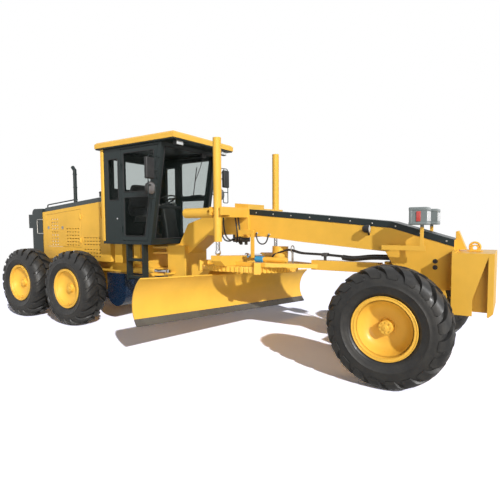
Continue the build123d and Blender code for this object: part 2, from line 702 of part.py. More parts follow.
mirror_arm += block(mirror_foot, (CAB_HALF, CAB_HALF + 20), (MIRROR_ARM_Z - 40, MIRROR_ARM_Z + 40))
mirror_head = block((MIRROR_X - 25, MIRROR_X + 25), (MIRROR_Y - 80, MIRROR_Y + 80), MIRROR_Z)
mirror_left = mirror_arm + mirror_head
write("steps_and_mirrors", ladder, left_of(ladder), mirror_left, left_of(mirror_left))

# ---------------------------------------------------------------- front frame
BOOM_HALF = 200
COLUMN_HALF = 300
COLUMN_X = (PIVOT_X + 170, PIVOT_X + 570)
COLUMN_BOTTOM = 840
COLUMN_TOP = 1440
BOOM_END = FRONT_X + 550
LEG_X = (FRONT_X - 160, FRONT_X + 160)
LEG_BOTTOM = 930
# the boom's top line from rear to front and its bottom line from front to rear
boom_top_line = [
    (COLUMN_X[1] + 670, 2090),
    (FRONT_X - 1490, 1955),
    (FRONT_X - 190, 1825),
    (BOOM_END, 1600),
]
boom_bottom_line = [
    (FRONT_X - 260, 1440),
    (FRONT_X - 1490, 1546),
    (COLUMN_X[1] + 1160, 1650),
    (COLUMN_X[1] + 430, 1620),
]
boom_outline = [
    (COLUMN_X[0], COLUMN_BOTTOM + 300),
    (COLUMN_X[0] + 80, COLUMN_TOP),
    (COLUMN_X[0] + 200, 1470),
    (COLUMN_X[1], 1820),
    (COLUMN_X[1] + 260, 1900),
    *boom_top_line,
    (BOOM_END, 1000),
    (LEG_X[1], LEG_BOTTOM),
    (LEG_X[0], LEG_BOTTOM),
    (LEG_X[0], 1260),
    *boom_bottom_line,
    (COLUMN_X[1], 1300),
    (COLUMN_X[1], COLUMN_BOTTOM + 300),
]
front_frame = side_plate(boom_outline, -BOOM_HALF, BOOM_HALF)
front_frame += block(COLUMN_X, (-COLUMN_HALF, COLUMN_HALF), (COLUMN_BOTTOM, COLUMN_TOP))
for z in (LOWER_LUG_Z, UPPER_LUG_Z):
    low, high = z - LUG_THICK / 2, z + LUG_THICK / 2
    lug = block((PIVOT_X, COLUMN_X[0]), (-LUG_RADIUS, LUG_RADIUS), (low, high))
    lug += bar((PIVOT_X, 0, low), (PIVOT_X, 0, high), LUG_RADIUS)
    front_frame += lug
    front_frame -= bar((PIVOT_X, 0, low - 1), (PIVOT_X, 0, high + 1), PIVOT_PIN + PIN_GAP)
# pads for the articulation cylinders' rod eyes, on the column's sides
ROD_EYE_X = PIVOT_X + 285
ROD_EYE_Y = 400
EYE_THICK = 50
for side in (-1, 1):
    pad_y = sorted((side * COLUMN_HALF, side * (ROD_EYE_Y + 45)))
    top = SWING_EYE_Z - EYE_THICK / 2 - RUNNING_GAP
    front_frame += block((ROD_EYE_X - 50, ROD_EYE_X + 50), pad_y, (top - 30, top))
# clevis for the drawbar's ball block, behind the leg
BALL_X = FRONT_X - 250
BALL_Z = 1200
BALL_HALF_HEIGHT = 64
BALL_HALF = 62
SOCKET_PLATE = 30
SWING_PIN = 30
for z in (BALL_Z - BALL_HALF_HEIGHT - RUNNING_GAP - SOCKET_PLATE, BALL_Z + BALL_HALF_HEIGHT + RUNNING_GAP):
    front_frame += block((BALL_X - 55, LEG_X[0]), (-BALL_HALF, BALL_HALF), (z, z + SOCKET_PLATE))
front_frame += bar(
    (BALL_X, 0, BALL_Z - BALL_HALF_HEIGHT - RUNNING_GAP - SOCKET_PLATE),
    (BALL_X, 0, BALL_Z + BALL_HALF_HEIGHT + RUNNING_GAP + SOCKET_PLATE),
    SWING_PIN,
)
# ears that carry the front axle's centre pin
EAR_PLATE = 40
AXLE_PIN_Z = 770
AXLE_HALF_X = 110
for x in (LEG_X[0], LEG_X[1] - EAR_PLATE):
    ear = block((x, x + EAR_PLATE), (-90, 90), (AXLE_PIN_Z, LEG_BOTTOM))
    ear += bar((x, 0, AXLE_PIN_Z), (x + EAR_PLATE, 0, AXLE_PIN_Z), 90)
    front_frame += ear
front_frame += bar((LEG_X[0], 0, AXLE_PIN_Z), (LEG_X[1], 0, AXLE_PIN_Z), 40)
write("front_frame", front_frame)

# saddle collar and the arms that carry the lift cylinders
CIRCLE_X = FRONT_X - WHEELBASE * 249 / 560
SADDLE_X = CIRCLE_X + 5
SADDLE_HALF = 125
LIFT_Y = 870
LIFT_Z = 2000
collar = side_plate(
    [
        (SADDLE_X - SADDLE_HALF, 1600),
        (SADDLE_X + SADDLE_HALF, 1600),
        (SADDLE_X + SADDLE_HALF, 2120),
        (SADDLE_X - SADDLE_HALF, 2140),
    ],
    -BOOM_HALF - 45,
    BOOM_HALF + 45,
)
FORK_INNER = 80
FORK_THICK = 30
TRUNNION = 25
for side in (-1, 1):
    arm_y = sorted((side * BOOM_HALF, side * (LIFT_Y - 150)))
    collar += block((SADDLE_X - 115, SADDLE_X + 115), arm_y, (LIFT_Z - 90, LIFT_Z + 60))
    fork_y = sorted((side * (LIFT_Y - 150), side * (LIFT_Y + 60)))
    for x in (SADDLE_X - FORK_INNER - FORK_THICK, SADDLE_X + FORK_INNER):
        fork = block((x, x + FORK_THICK), fork_y, (LIFT_Z - 60, LIFT_Z + 60))
        bore = bar((x - 1, side * LIFT_Y, LIFT_Z), (x + 40, side * LIFT_Y, LIFT_Z), TRUNNION + PIN_GAP)
        collar += fork - bore
    # boss behind each fork
    boss_y = side * (LIFT_Y - 60)
    boss_end = SADDLE_X - FORK_INNER - FORK_THICK
    collar += bar((boss_end - 550, boss_y, LIFT_Z - 20), (boss_end, boss_y, LIFT_Z - 20), 75)
    trunnion_end = (boss_end - 60, side * LIFT_Y, LIFT_Z)
    collar -= bar(trunnion_end, (boss_end, side * LIFT_Y, LIFT_Z), TRUNNION + PIN_GAP)
# bracket that hangs down in front of the collar, beside the centre shift rod's eye
SHIFT_X = SADDLE_X + 185
SHIFT_ROD_Y = -380
SHIFT_ROD_Z = 1330
SHIFT_EYE = 35
HANGER_FRONT = SHIFT_X + 125
hanger_y = (SHIFT_ROD_Y - 20, SHIFT_ROD_Y + 20)
collar += block((SADDLE_X + 40, SADDLE_X + SADDLE_HALF), (hanger_y[0], -BOOM_HALF - 40), (1620, 1720))
collar += block((SADDLE_X + 40, HANGER_FRONT), hanger_y, (1650, 1720))
collar += block((HANGER_FRONT - 45, HANGER_FRONT), hanger_y, (SHIFT_ROD_Z - SHIFT_EYE, 1720))
collar -= side_plate(boom_outline, -BOOM_HALF, BOOM_HALF)
write("saddle", collar)

# cover over the lines on the boom's top edge, in two lengths either side of the saddle
COVER_BAND = 80
COVER_SHEET = 6
cover_line = boom_top_line
band = [(x, z + COVER_SHEET) for x, z in cover_line] + [(x, z - COVER_BAND) for x, z in reversed(cover_line)]
boom_cover = side_plate(band, -BOOM_HALF - COVER_SHEET, BOOM_HALF + COVER_SHEET)
boom_cover -= side_plate(boom_outline, -BOOM_HALF, BOOM_HALF)
boom_cover -= block((SADDLE_X - SADDLE_HALF, SADDLE_X + SADDLE_HALF), (-300, 300), (1500, 2300))
write("boom_cover", *boom_cover.solids())

# nose block: flange, webs and push plate
FLANGE_X = (BOOM_END, BOOM_END + 35)
NOSE_HALF = 420
NOSE_BOTTOM = 740
NOSE_TOP = 1460
PUSH_THICK = 60
nose = block(FLANGE_X, (-NOSE_HALF, NOSE_HALF), (NOSE_BOTTOM, NOSE_TOP + 20))
nose += block((FLANGE_X[1], NOSE_X - PUSH_THICK), (-290, 290), (NOSE_BOTTOM + 30, NOSE_TOP - 30))
nose += block((FLANGE_X[1], NOSE_X - PUSH_THICK), (-NOSE_HALF, NOSE_HALF), (NOSE_TOP - 30, NOSE_TOP))
for side in (-1, 1):
    cheek_y = sorted((side * (NOSE_HALF - 30), side * NOSE_HALF))
    nose += side_plate(
        [
            (FLANGE_X[1], NOSE_BOTTOM),
            (FLANGE_X[1] + 185, NOSE_BOTTOM),
            (FLANGE_X[1] + 185, NOSE_BOTTOM + 190),
            (NOSE_X - PUSH_THICK, NOSE_TOP - 40),
            (NOSE_X - PUSH_THICK, NOSE_TOP),
            (FLANGE_X[1], NOSE_TOP),
        ],
        *cheek_y,
    )
push_plate = side_plate(
    [
        (NOSE_X - PUSH_THICK, NOSE_BOTTOM),
        (NOSE_X - 45, NOSE_BOTTOM),
        (NOSE_X, NOSE_BOTTOM + 45),
        (NOSE_X, NOSE_TOP),
        (NOSE_X - PUSH_THICK, NOSE_TOP),
    ],
    -NOSE_HALF,
    NOSE_HALF,
)
nose += push_plate
nose += side_plate(
    [(FLANGE_X[0], 1480), (FLANGE_X[0], 1700), (FLANGE_X[0] + 30, 1710), (FLANGE_X[0] + 120, 1480)], -60, 60
)
# lifting eye on the nose's top
LIFT_EYE_X = FRONT_X + 757
LIFT_EYE_BORE = 24
nose += side_plate(
    [
        (LIFT_EYE_X - 55, NOSE_TOP),
        (LIFT_EYE_X + 55, NOSE_TOP),
        (LIFT_EYE_X + 35, NOSE_TOP + 80),
        (LIFT_EYE_X - 35, NOSE_TOP + 80),
    ],
    -15,
    15,
)
nose -= bar((LIFT_EYE_X, -20, NOSE_TOP + 42), (LIFT_EYE_X, 20, NOSE_TOP + 42), LIFT_EYE_BORE)
# push plate's mounting holes
PUSH_HOLE = 14
PUSH_SPACING_Y = 500
PUSH_SPACING_Z = 400
PUSH_MIDDLE_Z = 1120
for y in (-PUSH_SPACING_Y / 2, PUSH_SPACING_Y / 2):
    for z in (PUSH_MIDDLE_Z - PUSH_SPACING_Z / 2, PUSH_MIDDLE_Z + PUSH_SPACING_Z / 2):
        nose -= bar((NOSE_X - 100, y, z), (NOSE_X + 10, y, z), PUSH_HOLE)
write("nose_block", nose)

# headlamps on posts beside the boom
LAMP_Y = 400
lamps = []
for side in (-1, 1):
    post_y = sorted((side * (LAMP_Y - 60), side * (LAMP_Y - 40)))
    housing_y = sorted((side * (LAMP_Y - 130), side * (LAMP_Y + 110)))
    post = bar((FRONT_X - 250, side * BOOM_HALF, 1500), (FRONT_X - 250, side * (LAMP_Y - 50), 1500), 18)
    post += block((FRONT_X - 270, FRONT_X + 250), post_y, (1470, 1530))
    post += block((FRONT_X + 190, FRONT_X + 230), post_y, (1530, 1790))
    post += block((FRONT_X + 90, FRONT_X + 290), housing_y, (1790, 1990))
    lamps.append(post)
write("headlamps", *lamps)

# ---------------------------------------------------------------- front axle
LEAN_Y = 560
LEAN_Z = 640
LEAN_PIN = 30
KING_Y = WHEEL_Y - 190
AXLE_PIN = 40
BEAM_END = LEAN_Y - 90
axle = block((FRONT_X - AXLE_HALF_X, FRONT_X + AXLE_HALF_X), (-BEAM_END, BEAM_END), (600, AXLE_PIN_Z + 60))
for side in (-1, 1):
    tongue_y = sorted((side * BEAM_END, side * LEAN_Y))
    axle += block((FRONT_X - 60, FRONT_X + 60), tongue_y, (LEAN_Z - 55, LEAN_Z + 55))
    axle += bar((FRONT_X - 60, side * LEAN_Y, LEAN_Z), (FRONT_X + 60, side * LEAN_Y, LEAN_Z), 55)
    axle += bar((FRONT_X - 95, side * LEAN_Y, LEAN_Z), (FRONT_X + 95, side * LEAN_Y, LEAN_Z), LEAN_PIN)
axle -= bar((FRONT_X - 200, 0, AXLE_PIN_Z), (FRONT_X + 200, 0, AXLE_PIN_Z), AXLE_PIN + PIN_GAP)
write("front_axle", axle)

# lean bracket: fork on the axle's end pin, upright, two arms that hold the king pin, and the
# arm in front that carries the lean bar
LEAN_BAR_X = FRONT_X + 200
LEAN_BAR_RISE = 240
LEAN_BAR_Z = LEAN_Z + LEAN_BAR_RISE
LEAN_BAR_PIN = 18
KNUCKLE_LOW = 565
KNUCKLE_HIGH = 785
KING_PIN = 28
upright_y = (LEAN_Y + 70, LEAN_Y + 130)
lean = block((FRONT_X - 95, FRONT_X + 95), upright_y, (KNUCKLE_LOW - 30, KNUCKLE_HIGH + 30))
for x in (FRONT_X - 95, FRONT_X + 61):
    lean += block((x, x + 34), (LEAN_Y - 40, LEAN_Y + 70), (LEAN_Z - 50, LEAN_Z + 60))
for z in (KNUCKLE_LOW - 30, KNUCKLE_HIGH):
    lean += block((FRONT_X - 50, FRONT_X + 50), (LEAN_Y + 130, KING_Y + 45), (z, z + 30))
lean += bar((FRONT_X, KING_Y, KNUCKLE_LOW - 30), (FRONT_X, KING_Y, KNUCKLE_HIGH + 30), KING_PIN)
lean += block((FRONT_X + 61, LEAN_BAR_X), (LEAN_Y - 30, LEAN_Y + 40), (LEAN_Z + 40, LEAN_Z + 130))
lean += block((LEAN_BAR_X - 30, LEAN_BAR_X), (LEAN_Y - 40, LEAN_Y + 40), (LEAN_Z + 40, LEAN_BAR_Z))
lean += bar((LEAN_BAR_X - 30, LEAN_Y, LEAN_BAR_Z), (LEAN_BAR_X, LEAN_Y, LEAN_BAR_Z), 40)
lean += bar((LEAN_BAR_X, LEAN_Y, LEAN_BAR_Z), (LEAN_BAR_X + 34, LEAN_Y, LEAN_BAR_Z), LEAN_BAR_PIN)
lean -= bar((FRONT_X - 96, LEAN_Y, LEAN_Z), (FRONT_X + 96, LEAN_Y, LEAN_Z), LEAN_PIN + PIN_GAP)
write("lean_bracket_left", lean)
write("lean_bracket_right", left_of(lean))

bar_x = (LEAN_BAR_X + RUNNING_GAP, LEAN_BAR_X + 28)
lean_bar = block(bar_x, (-LEAN_Y, LEAN_Y), (LEAN_BAR_Z - 28, LEAN_BAR_Z + 28))
for side in (-1, 1):
    lean_bar += bar((bar_x[0], side * LEAN_Y, LEAN_BAR_Z), (bar_x[1], side * LEAN_Y, LEAN_BAR_Z), 36)
for side in (-1, 1):
    lean_bar -= bar(
        (bar_x[0] - 5, side * LEAN_Y, LEAN_BAR_Z),
        (bar_x[1] + 5, side * LEAN_Y, LEAN_BAR_Z),
        LEAN_BAR_PIN + PIN_GAP,
    )
write("lean_bar", lean_bar)

# steering knuckle with its spindle and rearward arm; the tie rod hangs under the arms
STEER_ARM = 230
ARM_BOTTOM = 600
TIE_ROD_Z = ARM_BOTTOM - 29
TIE_PIN = 15
TIE_HINGE_Y = KING_Y - 50
TIE_HINGE_PIN = 9
TIE_BALL = 20
steer_x = FRONT_X - STEER_ARM
boss_end = WHEEL_Y - HUB_INNER - RUNNING_GAP
knuckle_z = (KNUCKLE_LOW + RUNNING_GAP, KNUCKLE_HIGH - RUNNING_GAP)
knuckle = bar((FRONT_X, KING_Y, knuckle_z[0]), (FRONT_X, KING_Y, knuckle_z[1]), 52)
knuckle += bar((FRONT_X, KING_Y, AXLE_Z), (FRONT_X, boss_end, AXLE_Z), 60)
knuckle += bar((FRONT_X, KING_Y, AXLE_Z), (FRONT_X, SPINDLE_END_Y, AXLE_Z), SPINDLE_RADIUS)
knuckle += block((steer_x, FRONT_X), (KING_Y - 30, KING_Y + 30), (ARM_BOTTOM, ARM_BOTTOM + 40))
knuckle += bar((steer_x, KING_Y, ARM_BOTTOM), (steer_x, KING_Y, ARM_BOTTOM + 40), 30)
knuckle -= bar((FRONT_X, KING_Y, KNUCKLE_LOW - 10), (FRONT_X, KING_Y, KNUCKLE_HIGH + 10), KING_PIN + PIN_GAP)
write("knuckle_right", left_of(knuckle))
knuckle += bar((steer_x, KING_Y, TIE_ROD_Z - 25), (steer_x, KING_Y, ARM_BOTTOM), TIE_PIN)
write("knuckle_left", knuckle)
eye_z = (TIE_ROD_Z - 20, ARM_BOTTOM - RUNNING_GAP)
rod_end = bar((steer_x, KING_Y, eye_z[0]), (steer_x, KING_Y, eye_z[1]), 28)
rod_end += block((steer_x - 11, steer_x + 11), (TIE_HINGE_Y - 12, KING_Y), (TIE_ROD_Z - 14, TIE_ROD_Z + 14))
rod_end -= bar((steer_x, KING_Y, eye_z[0] - 1), (steer_x, KING_Y, eye_z[1] + 1), TIE_PIN + PIN_GAP)
rod_end += bar((steer_x - 26, TIE_HINGE_Y, TIE_ROD_Z), (steer_x + 26, TIE_HINGE_Y, TIE_ROD_Z), TIE_HINGE_PIN)
write("tie_rod_end", rod_end)
tie_rod = bar((steer_x, -KING_Y, TIE_ROD_Z), (steer_x, TIE_HINGE_Y - 30, TIE_ROD_Z), 16)
tie_rod += Pos(steer_x, -KING_Y, TIE_ROD_Z) * Sphere(TIE_BALL)
fork_z = (TIE_ROD_Z - 16, TIE_ROD_Z + 16)
tie_rod += block((steer_x - 23, steer_x + 23), (TIE_HINGE_Y - 45, TIE_HINGE_Y - 22), fork_z)
for x in (steer_x - 23, steer_x + 11 + RUNNING_GAP):
    plate = block((x, x + 12 - RUNNING_GAP), (TIE_HINGE_Y - 30, TIE_HINGE_Y), fork_z)
    plate += bar((x, TIE_HINGE_Y, TIE_ROD_Z), (x + 12 - RUNNING_GAP, TIE_HINGE_Y, TIE_ROD_Z), 16)
    tie_rod += plate
tie_rod -= bar(
    (steer_x - 30, TIE_HINGE_Y, TIE_ROD_Z), (steer_x + 30, TIE_HINGE_Y, TIE_ROD_Z), TIE_HINGE_PIN + PIN_GAP
)
write("tie_rod", tie_rod)

# ---------------------------------------------------------------- drawbar and circle
DRAWBAR_ROLL = -3.3  # right side carried higher, about the ball
BLADE_TURN = -7.8  # right end of the blade back
CIRCLE_RADIUS = 790
CIRCLE_INNER = 640
CIRCLE_TOP = 1150
CIRCLE_BOTTOM = 1060
DRAW_LOW = CIRCLE_TOP + RUNNING_GAP
DRAW_HIGH = 1210
drawbar_pose = Pos(BALL_X, 0, BALL_Z) * Rot(DRAWBAR_ROLL, 0, 0) * Pos(-BALL_X, 0, -BALL_Z)
circle_pose = drawbar_pose * Pos(CIRCLE_X, 0, 0) * Rot(0, 0, BLADE_TURN)


def on_drawbar(x, y, z):
    """World place of a point given in the level drawbar's coordinates."""
    roll = radians(DRAWBAR_ROLL)
    rise = z - BALL_Z
    return Vector(x, y * cos(roll) - rise * sin(roll), BALL_Z + y * sin(roll) + rise * cos(roll))


BALL_TRUNNION = 35
ball_span = (BALL_Z - BALL_HALF_HEIGHT, BALL_Z + BALL_HALF_HEIGHT)
ball = block((BALL_X - 45, BALL_X + 45), (-BALL_HALF, BALL_HALF), ball_span)
ball += drawbar_pose * bar((BALL_X, -134, BALL_Z), (BALL_X, 134, BALL_Z), BALL_TRUNNION)
ball -= bar((BALL_X, 0, BALL_Z - 100), (BALL_X, 0, BALL_Z + 100), SWING_PIN + PIN_GAP)
write("drawbar_ball", ball)

# drawbar: fork on the ball, centre beam, two legs that run back over the circle
YOKE_HALF = 90
YOKE_END = LIFT_Y + 60
PAD_TOP = 1300
LEG_INNER = 420
LEG_OUTER = 560
REAR_MEMBER = CIRCLE_X - 620
beam = block((CIRCLE_X + 1150, BALL_X - 130), (-132, 132), (1130, 1270))
for side in (-1, 1):
    fork_y = sorted((side * 92, side * 132))
    beam += block((BALL_X - 200, BALL_X), fork_y, (BALL_Z - 50, BALL_Z + 50))
    beam += bar((BALL_X, side * 92, BALL_Z), (BALL_X, side * 132, BALL_Z), 50)
    leg = [
        (CIRCLE_X + 1250, side * 20),
        (CIRCLE_X + 1250, side * 132),
        (CIRCLE_X + 620, side * LEG_OUTER),
        (REAR_MEMBER, side * LEG_OUTER),
        (REAR_MEMBER, side * LEG_INNER),
        (CIRCLE_X + 560, side * LEG_INNER),
    ]
    beam += flat_plate(leg, DRAW_LOW, DRAW_HIGH)
beam += block((REAR_MEMBER, REAR_MEMBER + 120), (-LEG_INNER, LEG_INNER), (DRAW_LOW, DRAW_HIGH))
yoke = [(-YOKE_END, PAD_TOP), (-YOKE_END, DRAW_LOW + 70), (-YOKE_END + 110, DRAW_LOW)]
yoke += [(-y, z) for y, z in reversed(yoke)]
beam += cross_plate(yoke, SADDLE_X - YOKE_HALF, SADDLE_X + YOKE_HALF)
# circle drive
DRIVE_X = CIRCLE_X + 560
MOTOR = 125
beam += block((DRIVE_X - MOTOR - 20, DRIVE_X + 160), (-LEG_INNER, LEG_INNER), (DRAW_LOW, DRAW_HIGH))
beam += bar((DRIVE_X, 0, DRAW_HIGH), (DRIVE_X, 0, 1460), MOTOR)
# shoes that hold the circle's edge
SHOE_LIP = CIRCLE_RADIUS - 18
SHOE_BOTTOM = CIRCLE_BOTTOM - 18
SHOE_HALF = 50
for angle in (-50, 50, 130, 230):
    shoe_y = (-SHOE_HALF, SHOE_HALF)
    lip_z = (SHOE_BOTTOM, CIRCLE_BOTTOM - RUNNING_GAP)
    shoe = block((CIRCLE_RADIUS + MOVING_GAP, CIRCLE_RADIUS + 50), shoe_y, (SHOE_BOTTOM, DRAW_HIGH))
    shoe += block((SHOE_LIP, CIRCLE_RADIUS + 50), shoe_y, lip_z)
    shoe += block((CIRCLE_INNER + 30, CIRCLE_RADIUS + 50), (-SHOE_HALF, SHOE_HALF), (DRAW_LOW, DRAW_HIGH))
    beam += Pos(CIRCLE_X, 0, 0) * Rot(0, 0, angle) * shoe
beam -= bar((BALL_X, -200, BALL_Z), (BALL_X, 200, BALL_Z), BALL_TRUNNION + PIN_GAP)
# pin for the centre shift cylinder's barrel, ahead of the yoke's left end
SHIFT_PIN_Y = 880
SHIFT_PIN_Z = 1305
SHIFT_PIN = 20
SHIFT_EYE_HALF = 20
lug_x = (SADDLE_X + YOKE_HALF + 20, SADDLE_X + YOKE_HALF + 45)
lug_y = (SHIFT_PIN_Y - 40, SHIFT_PIN_Y + 40)
pin_at = Vector(lug_x[1] - 5, SHIFT_PIN_Y, SHIFT_PIN_Z)
beam += block((SADDLE_X, lug_x[1]), lug_y, (DRAW_LOW, PAD_TOP - 10))
beam += block(lug_x, lug_y, (DRAW_LOW, SHIFT_PIN_Z + 40))
beam += bar(pin_at, (SHIFT_X - SHIFT_EYE_HALF - RUNNING_GAP, SHIFT_PIN_Y, SHIFT_PIN_Z), SHIFT_PIN + 9)
beam += bar(pin_at, (SHIFT_X + SHIFT_EYE_HALF + 6, SHIFT_PIN_Y, SHIFT_PIN_Z), SHIFT_PIN)
write("drawbar", drawbar_pose * beam)

# circle: toothed ring with the two blade arms, about its own axis
TEETH = 72
TOOTH_HEIGHT = 22
TIP_X = -430
TIP_Z = 580
TIP_PIN = 30
ARM_Y = 560
ARM_THICK = 45
ARM_FRONT = TIP_X + 30
ARM_REACH = CIRCLE_RADIUS - 24  # farthest the arms stand out beside the shoes' lips
arm_rear = -((ARM_REACH**2 - (ARM_Y + ARM_THICK) ** 2) ** 0.5)
ring = Pos(0, 0, (CIRCLE_TOP + CIRCLE_BOTTOM) / 2) * (
    Cylinder(CIRCLE_RADIUS - TOOTH_HEIGHT, CIRCLE_TOP - CIRCLE_BOTTOM)
    - Cylinder(CIRCLE_INNER, CIRCLE_TOP - CIRCLE_BOTTOM + 2)
)
tooth_points = [
    (CIRCLE_RADIUS - TOOTH_HEIGHT - 4, -20),
    (CIRCLE_RADIUS, -10),
    (CIRCLE_RADIUS, 10),
    (CIRCLE_RADIUS - TOOTH_HEIGHT - 4, 20),
]
tooth = flat_plate(tooth_points, CIRCLE_BOTTOM + 10, CIRCLE_TOP - 10)
ring = ring.fuse(*[Rot(0, 0, 360 * i / TEETH) * tooth for i in range(TEETH)])
for side in (-1, 1):
    arm_y = sorted((side * ARM_Y, side * (ARM_Y + ARM_THICK)))
    ring += side_plate(
        [
            (arm_rear, CIRCLE_BOTTOM),
            (-300, CIRCLE_BOTTOM),
            (ARM_FRONT, 870),
            (ARM_FRONT, TIP_Z),
            (TIP_X - 60, TIP_Z),
            (-520, 700),
            (-550, 980),
            (arm_rear, CIRCLE_BOTTOM - 40),
        ],
        *arm_y,
    )
    ring += bar((TIP_X, arm_y[0], TIP_Z), (TIP_X, arm_y[1], TIP_Z), 60)
ring += block((arm_rear, arm_rear + 100), (-ARM_Y, ARM_Y), (CIRCLE_BOTTOM - 100, CIRCLE_BOTTOM))
ring -= bar((TIP_X, -700, TIP_Z), (TIP_X, 700, TIP_Z), TIP_PIN + PIN_GAP)
write("circle", circle_pose * ring)

# ---------------------------------------------------------------- blade
BLADE_LENGTH = 3965
BLADE_HEIGHT = 612
BLADE_SAG = 138  # depth of the curve
BLADE_LEAN = 50  # top edge ahead of the cutting edge
BLADE_PLATE = 22
EDGE_X = -166  # cutting edge behind the circle's axis
EDGE_Z = 378
EDGE_HEIGHT = 90
BLADE_SHIFT = -45  # rest place of the blade along its length
chord = hypot(BLADE_HEIGHT, BLADE_LEAN)
arc_radius = chord * chord / (8 * BLADE_SAG) + BLADE_SAG / 2
lean_angle = degrees(acos(BLADE_HEIGHT / chord))
half_angle = degrees(acos((arc_radius - BLADE_SAG) / arc_radius))
arc_x = EDGE_X + BLADE_LEAN / 2 + (arc_radius - BLADE_SAG) * cos(radians(lean_angle))
arc_z = EDGE_Z + BLADE_HEIGHT / 2 - (arc_radius - BLADE_SAG) * sin(radians(lean_angle))


def arc_point(share, radius):
    """Point of the blade's section at a share of its height, 0 at the cutting edge."""
    angle = radians(180 - lean_angle - half_angle + 2 * half_angle * (1 - share))
    return (arc_x + radius * cos(angle), arc_z + radius * sin(angle))


def blade_strip(start, end, inset, thick, low, high):
    """Curved strip between two shares of the section, carried along the blade's length."""
    inner, outer = arc_radius + inset, arc_radius + inset + thick
    middle = (start + end) / 2
    outline = [
        ThreePointArc(arc_point(start, inner), arc_point(middle, inner), arc_point(end, inner)),
        Line(arc_point(end, inner), arc_point(end, outer)),
        ThreePointArc(arc_point(end, outer), arc_point(middle, outer), arc_point(start, outer)),
        Line(arc_point(start, outer), arc_point(start, inner)),
    ]
    plane = Plane(origin=(0, high, 0), x_dir=(1, 0, 0), z_dir=(0, -1, 0))
    return extrude(plane * make_face(outline), high - low)


blade_ends = (BLADE_SHIFT - BLADE_LENGTH / 2, BLADE_SHIFT + BLADE_LENGTH / 2)
edge_share = EDGE_HEIGHT / BLADE_HEIGHT
mouldboard = blade_strip(edge_share, 1, 0, BLADE_PLATE, *blade_ends)
cutting_edge = blade_strip(0, edge_share, 0, BLADE_PLATE, *blade_ends)
# slide rails on the blade's back
RAIL_END = 1350
RAIL_DEPTH = 30
JAW_REACH = 18
back_x = EDGE_X + BLADE_LEAN / 2 - BLADE_SAG - BLADE_PLATE
rail_back = back_x - RAIL_DEPTH
RAILS = ((540, 590), (800, 850))
for low, high in RAILS:
    rail_y = (BLADE_SHIFT - RAIL_END, BLADE_SHIFT + RAIL_END)
    mouldboard += block((rail_back, back_x + 60), rail_y, (low, high))
mouldboard -= blade_strip(-0.1, 1.1, -100, 100, blade_ends[0] - 5, blade_ends[1] + 5)
# side shift cylinder: its rod is bolted to a lug on the blade
SIDE_LUG_Y = 1150
SIDE_ROD = 20
SIDE_BARREL = 38
SIDE_STROKE = 600
SIDE_X = back_x - 42
SIDE_Z = 690
side_barrel_y = (-850, 450)
mouldboard += block((SIDE_X - 25, back_x + 10), (SIDE_LUG_Y, SIDE_LUG_Y + 40), (SIDE_Z - 40, SIDE_Z + 40))
side_rod_start = (SIDE_X, side_barrel_y[0] + SIDE_STROKE + 20, SIDE_Z)
mouldboard += bar(side_rod_start, (SIDE_X, SIDE_LUG_Y, SIDE_Z), SIDE_ROD)
write("mouldboard", circle_pose * mouldboard)
write("cutting_edge", circle_pose * cutting_edge)

# carrier that tips on the circle's arms and holds the slide rails
TIP_TUBE = 45
JAW_Y = (380, 430)
carrier = bar((TIP_X, -ARM_Y + RUNNING_GAP, TIP_Z), (TIP_X, ARM_Y - RUNNING_GAP, TIP_Z), TIP_TUBE)
carrier += bar((TIP_X, -ARM_Y - ARM_THICK - 10, TIP_Z), (TIP_X, ARM_Y + ARM_THICK + 10, TIP_Z), TIP_PIN)
for side in (-1, 1):
    plate_y = sorted((side * JAW_Y[0], side * JAW_Y[1]))
    plate = block((TIP_X - 50, rail_back - RUNNING_GAP), plate_y, (TIP_Z - 65, 872))
    for low, high in RAILS:
        jaw_x = (rail_back - RUNNING_GAP, rail_back + JAW_REACH)
        plate += block(jaw_x, plate_y, (high + RUNNING_GAP, high + 22))
        plate += block(jaw_x, plate_y, (low - 22, low - RUNNING_GAP))
    carrier += plate
carrier -= bar((SIDE_X, -700, SIDE_Z), (SIDE_X, 700, SIDE_Z), SIDE_BARREL - 6)
side_ends = [(SIDE_X, y, SIDE_Z) for y in side_barrel_y]
carrier += pipe(*side_ends, SIDE_BARREL, SIDE_ROD + PIN_GAP)
write("blade_carrier", circle_pose * carrier)

# ---------------------------------------------------------------- cylinders
LIFT_TOP = 3050
LIFT_GLAND = 1555
LIFT_BARREL = 60
LIFT_ROD = 32
LIFT_BALL = 45
LIFT_TRAVEL_LEFT = 140  # from the rod's end up to the cap
roll_cos = cos(radians(DRAWBAR_ROLL))
for name, side in (("right", -1), ("left", 1)):
    y = side * LIFT_Y
    ends = [(SADDLE_X, y, z) for z in (LIFT_TOP, LIFT_GLAND)]
    barrel = blind_pipe(*ends, LIFT_BARREL, LIFT_ROD + PIN_GAP, 30)
    for end in (-1, 1):
        near = SADDLE_X + end * (LIFT_BARREL - 8)
        face = SADDLE_X + end * (FORK_INNER - RUNNING_GAP)
        tip = SADDLE_X + end * (FORK_INNER + FORK_THICK)
        barrel += bar((near, y, LIFT_Z), (face, y, LIFT_Z), 40)
        barrel += bar((near, y, LIFT_Z), (tip, y, LIFT_Z), TRUNNION)
    write(f"lift_barrel_{name}", barrel)
    pad = BALL_Z + (PAD_TOP - BALL_Z) / roll_cos + tan(radians(DRAWBAR_ROLL)) * y
    ball_z = pad + (LIFT_BALL + RUNNING_GAP + 0.2) / roll_cos
    rod = bar((SADDLE_X, y, ball_z), (SADDLE_X, y, LIFT_TOP - LIFT_TRAVEL_LEFT), LIFT_ROD)
    rod += Pos(SADDLE_X, y, ball_z) * Sphere(LIFT_BALL)
    write(f"lift_rod_{name}", rod)

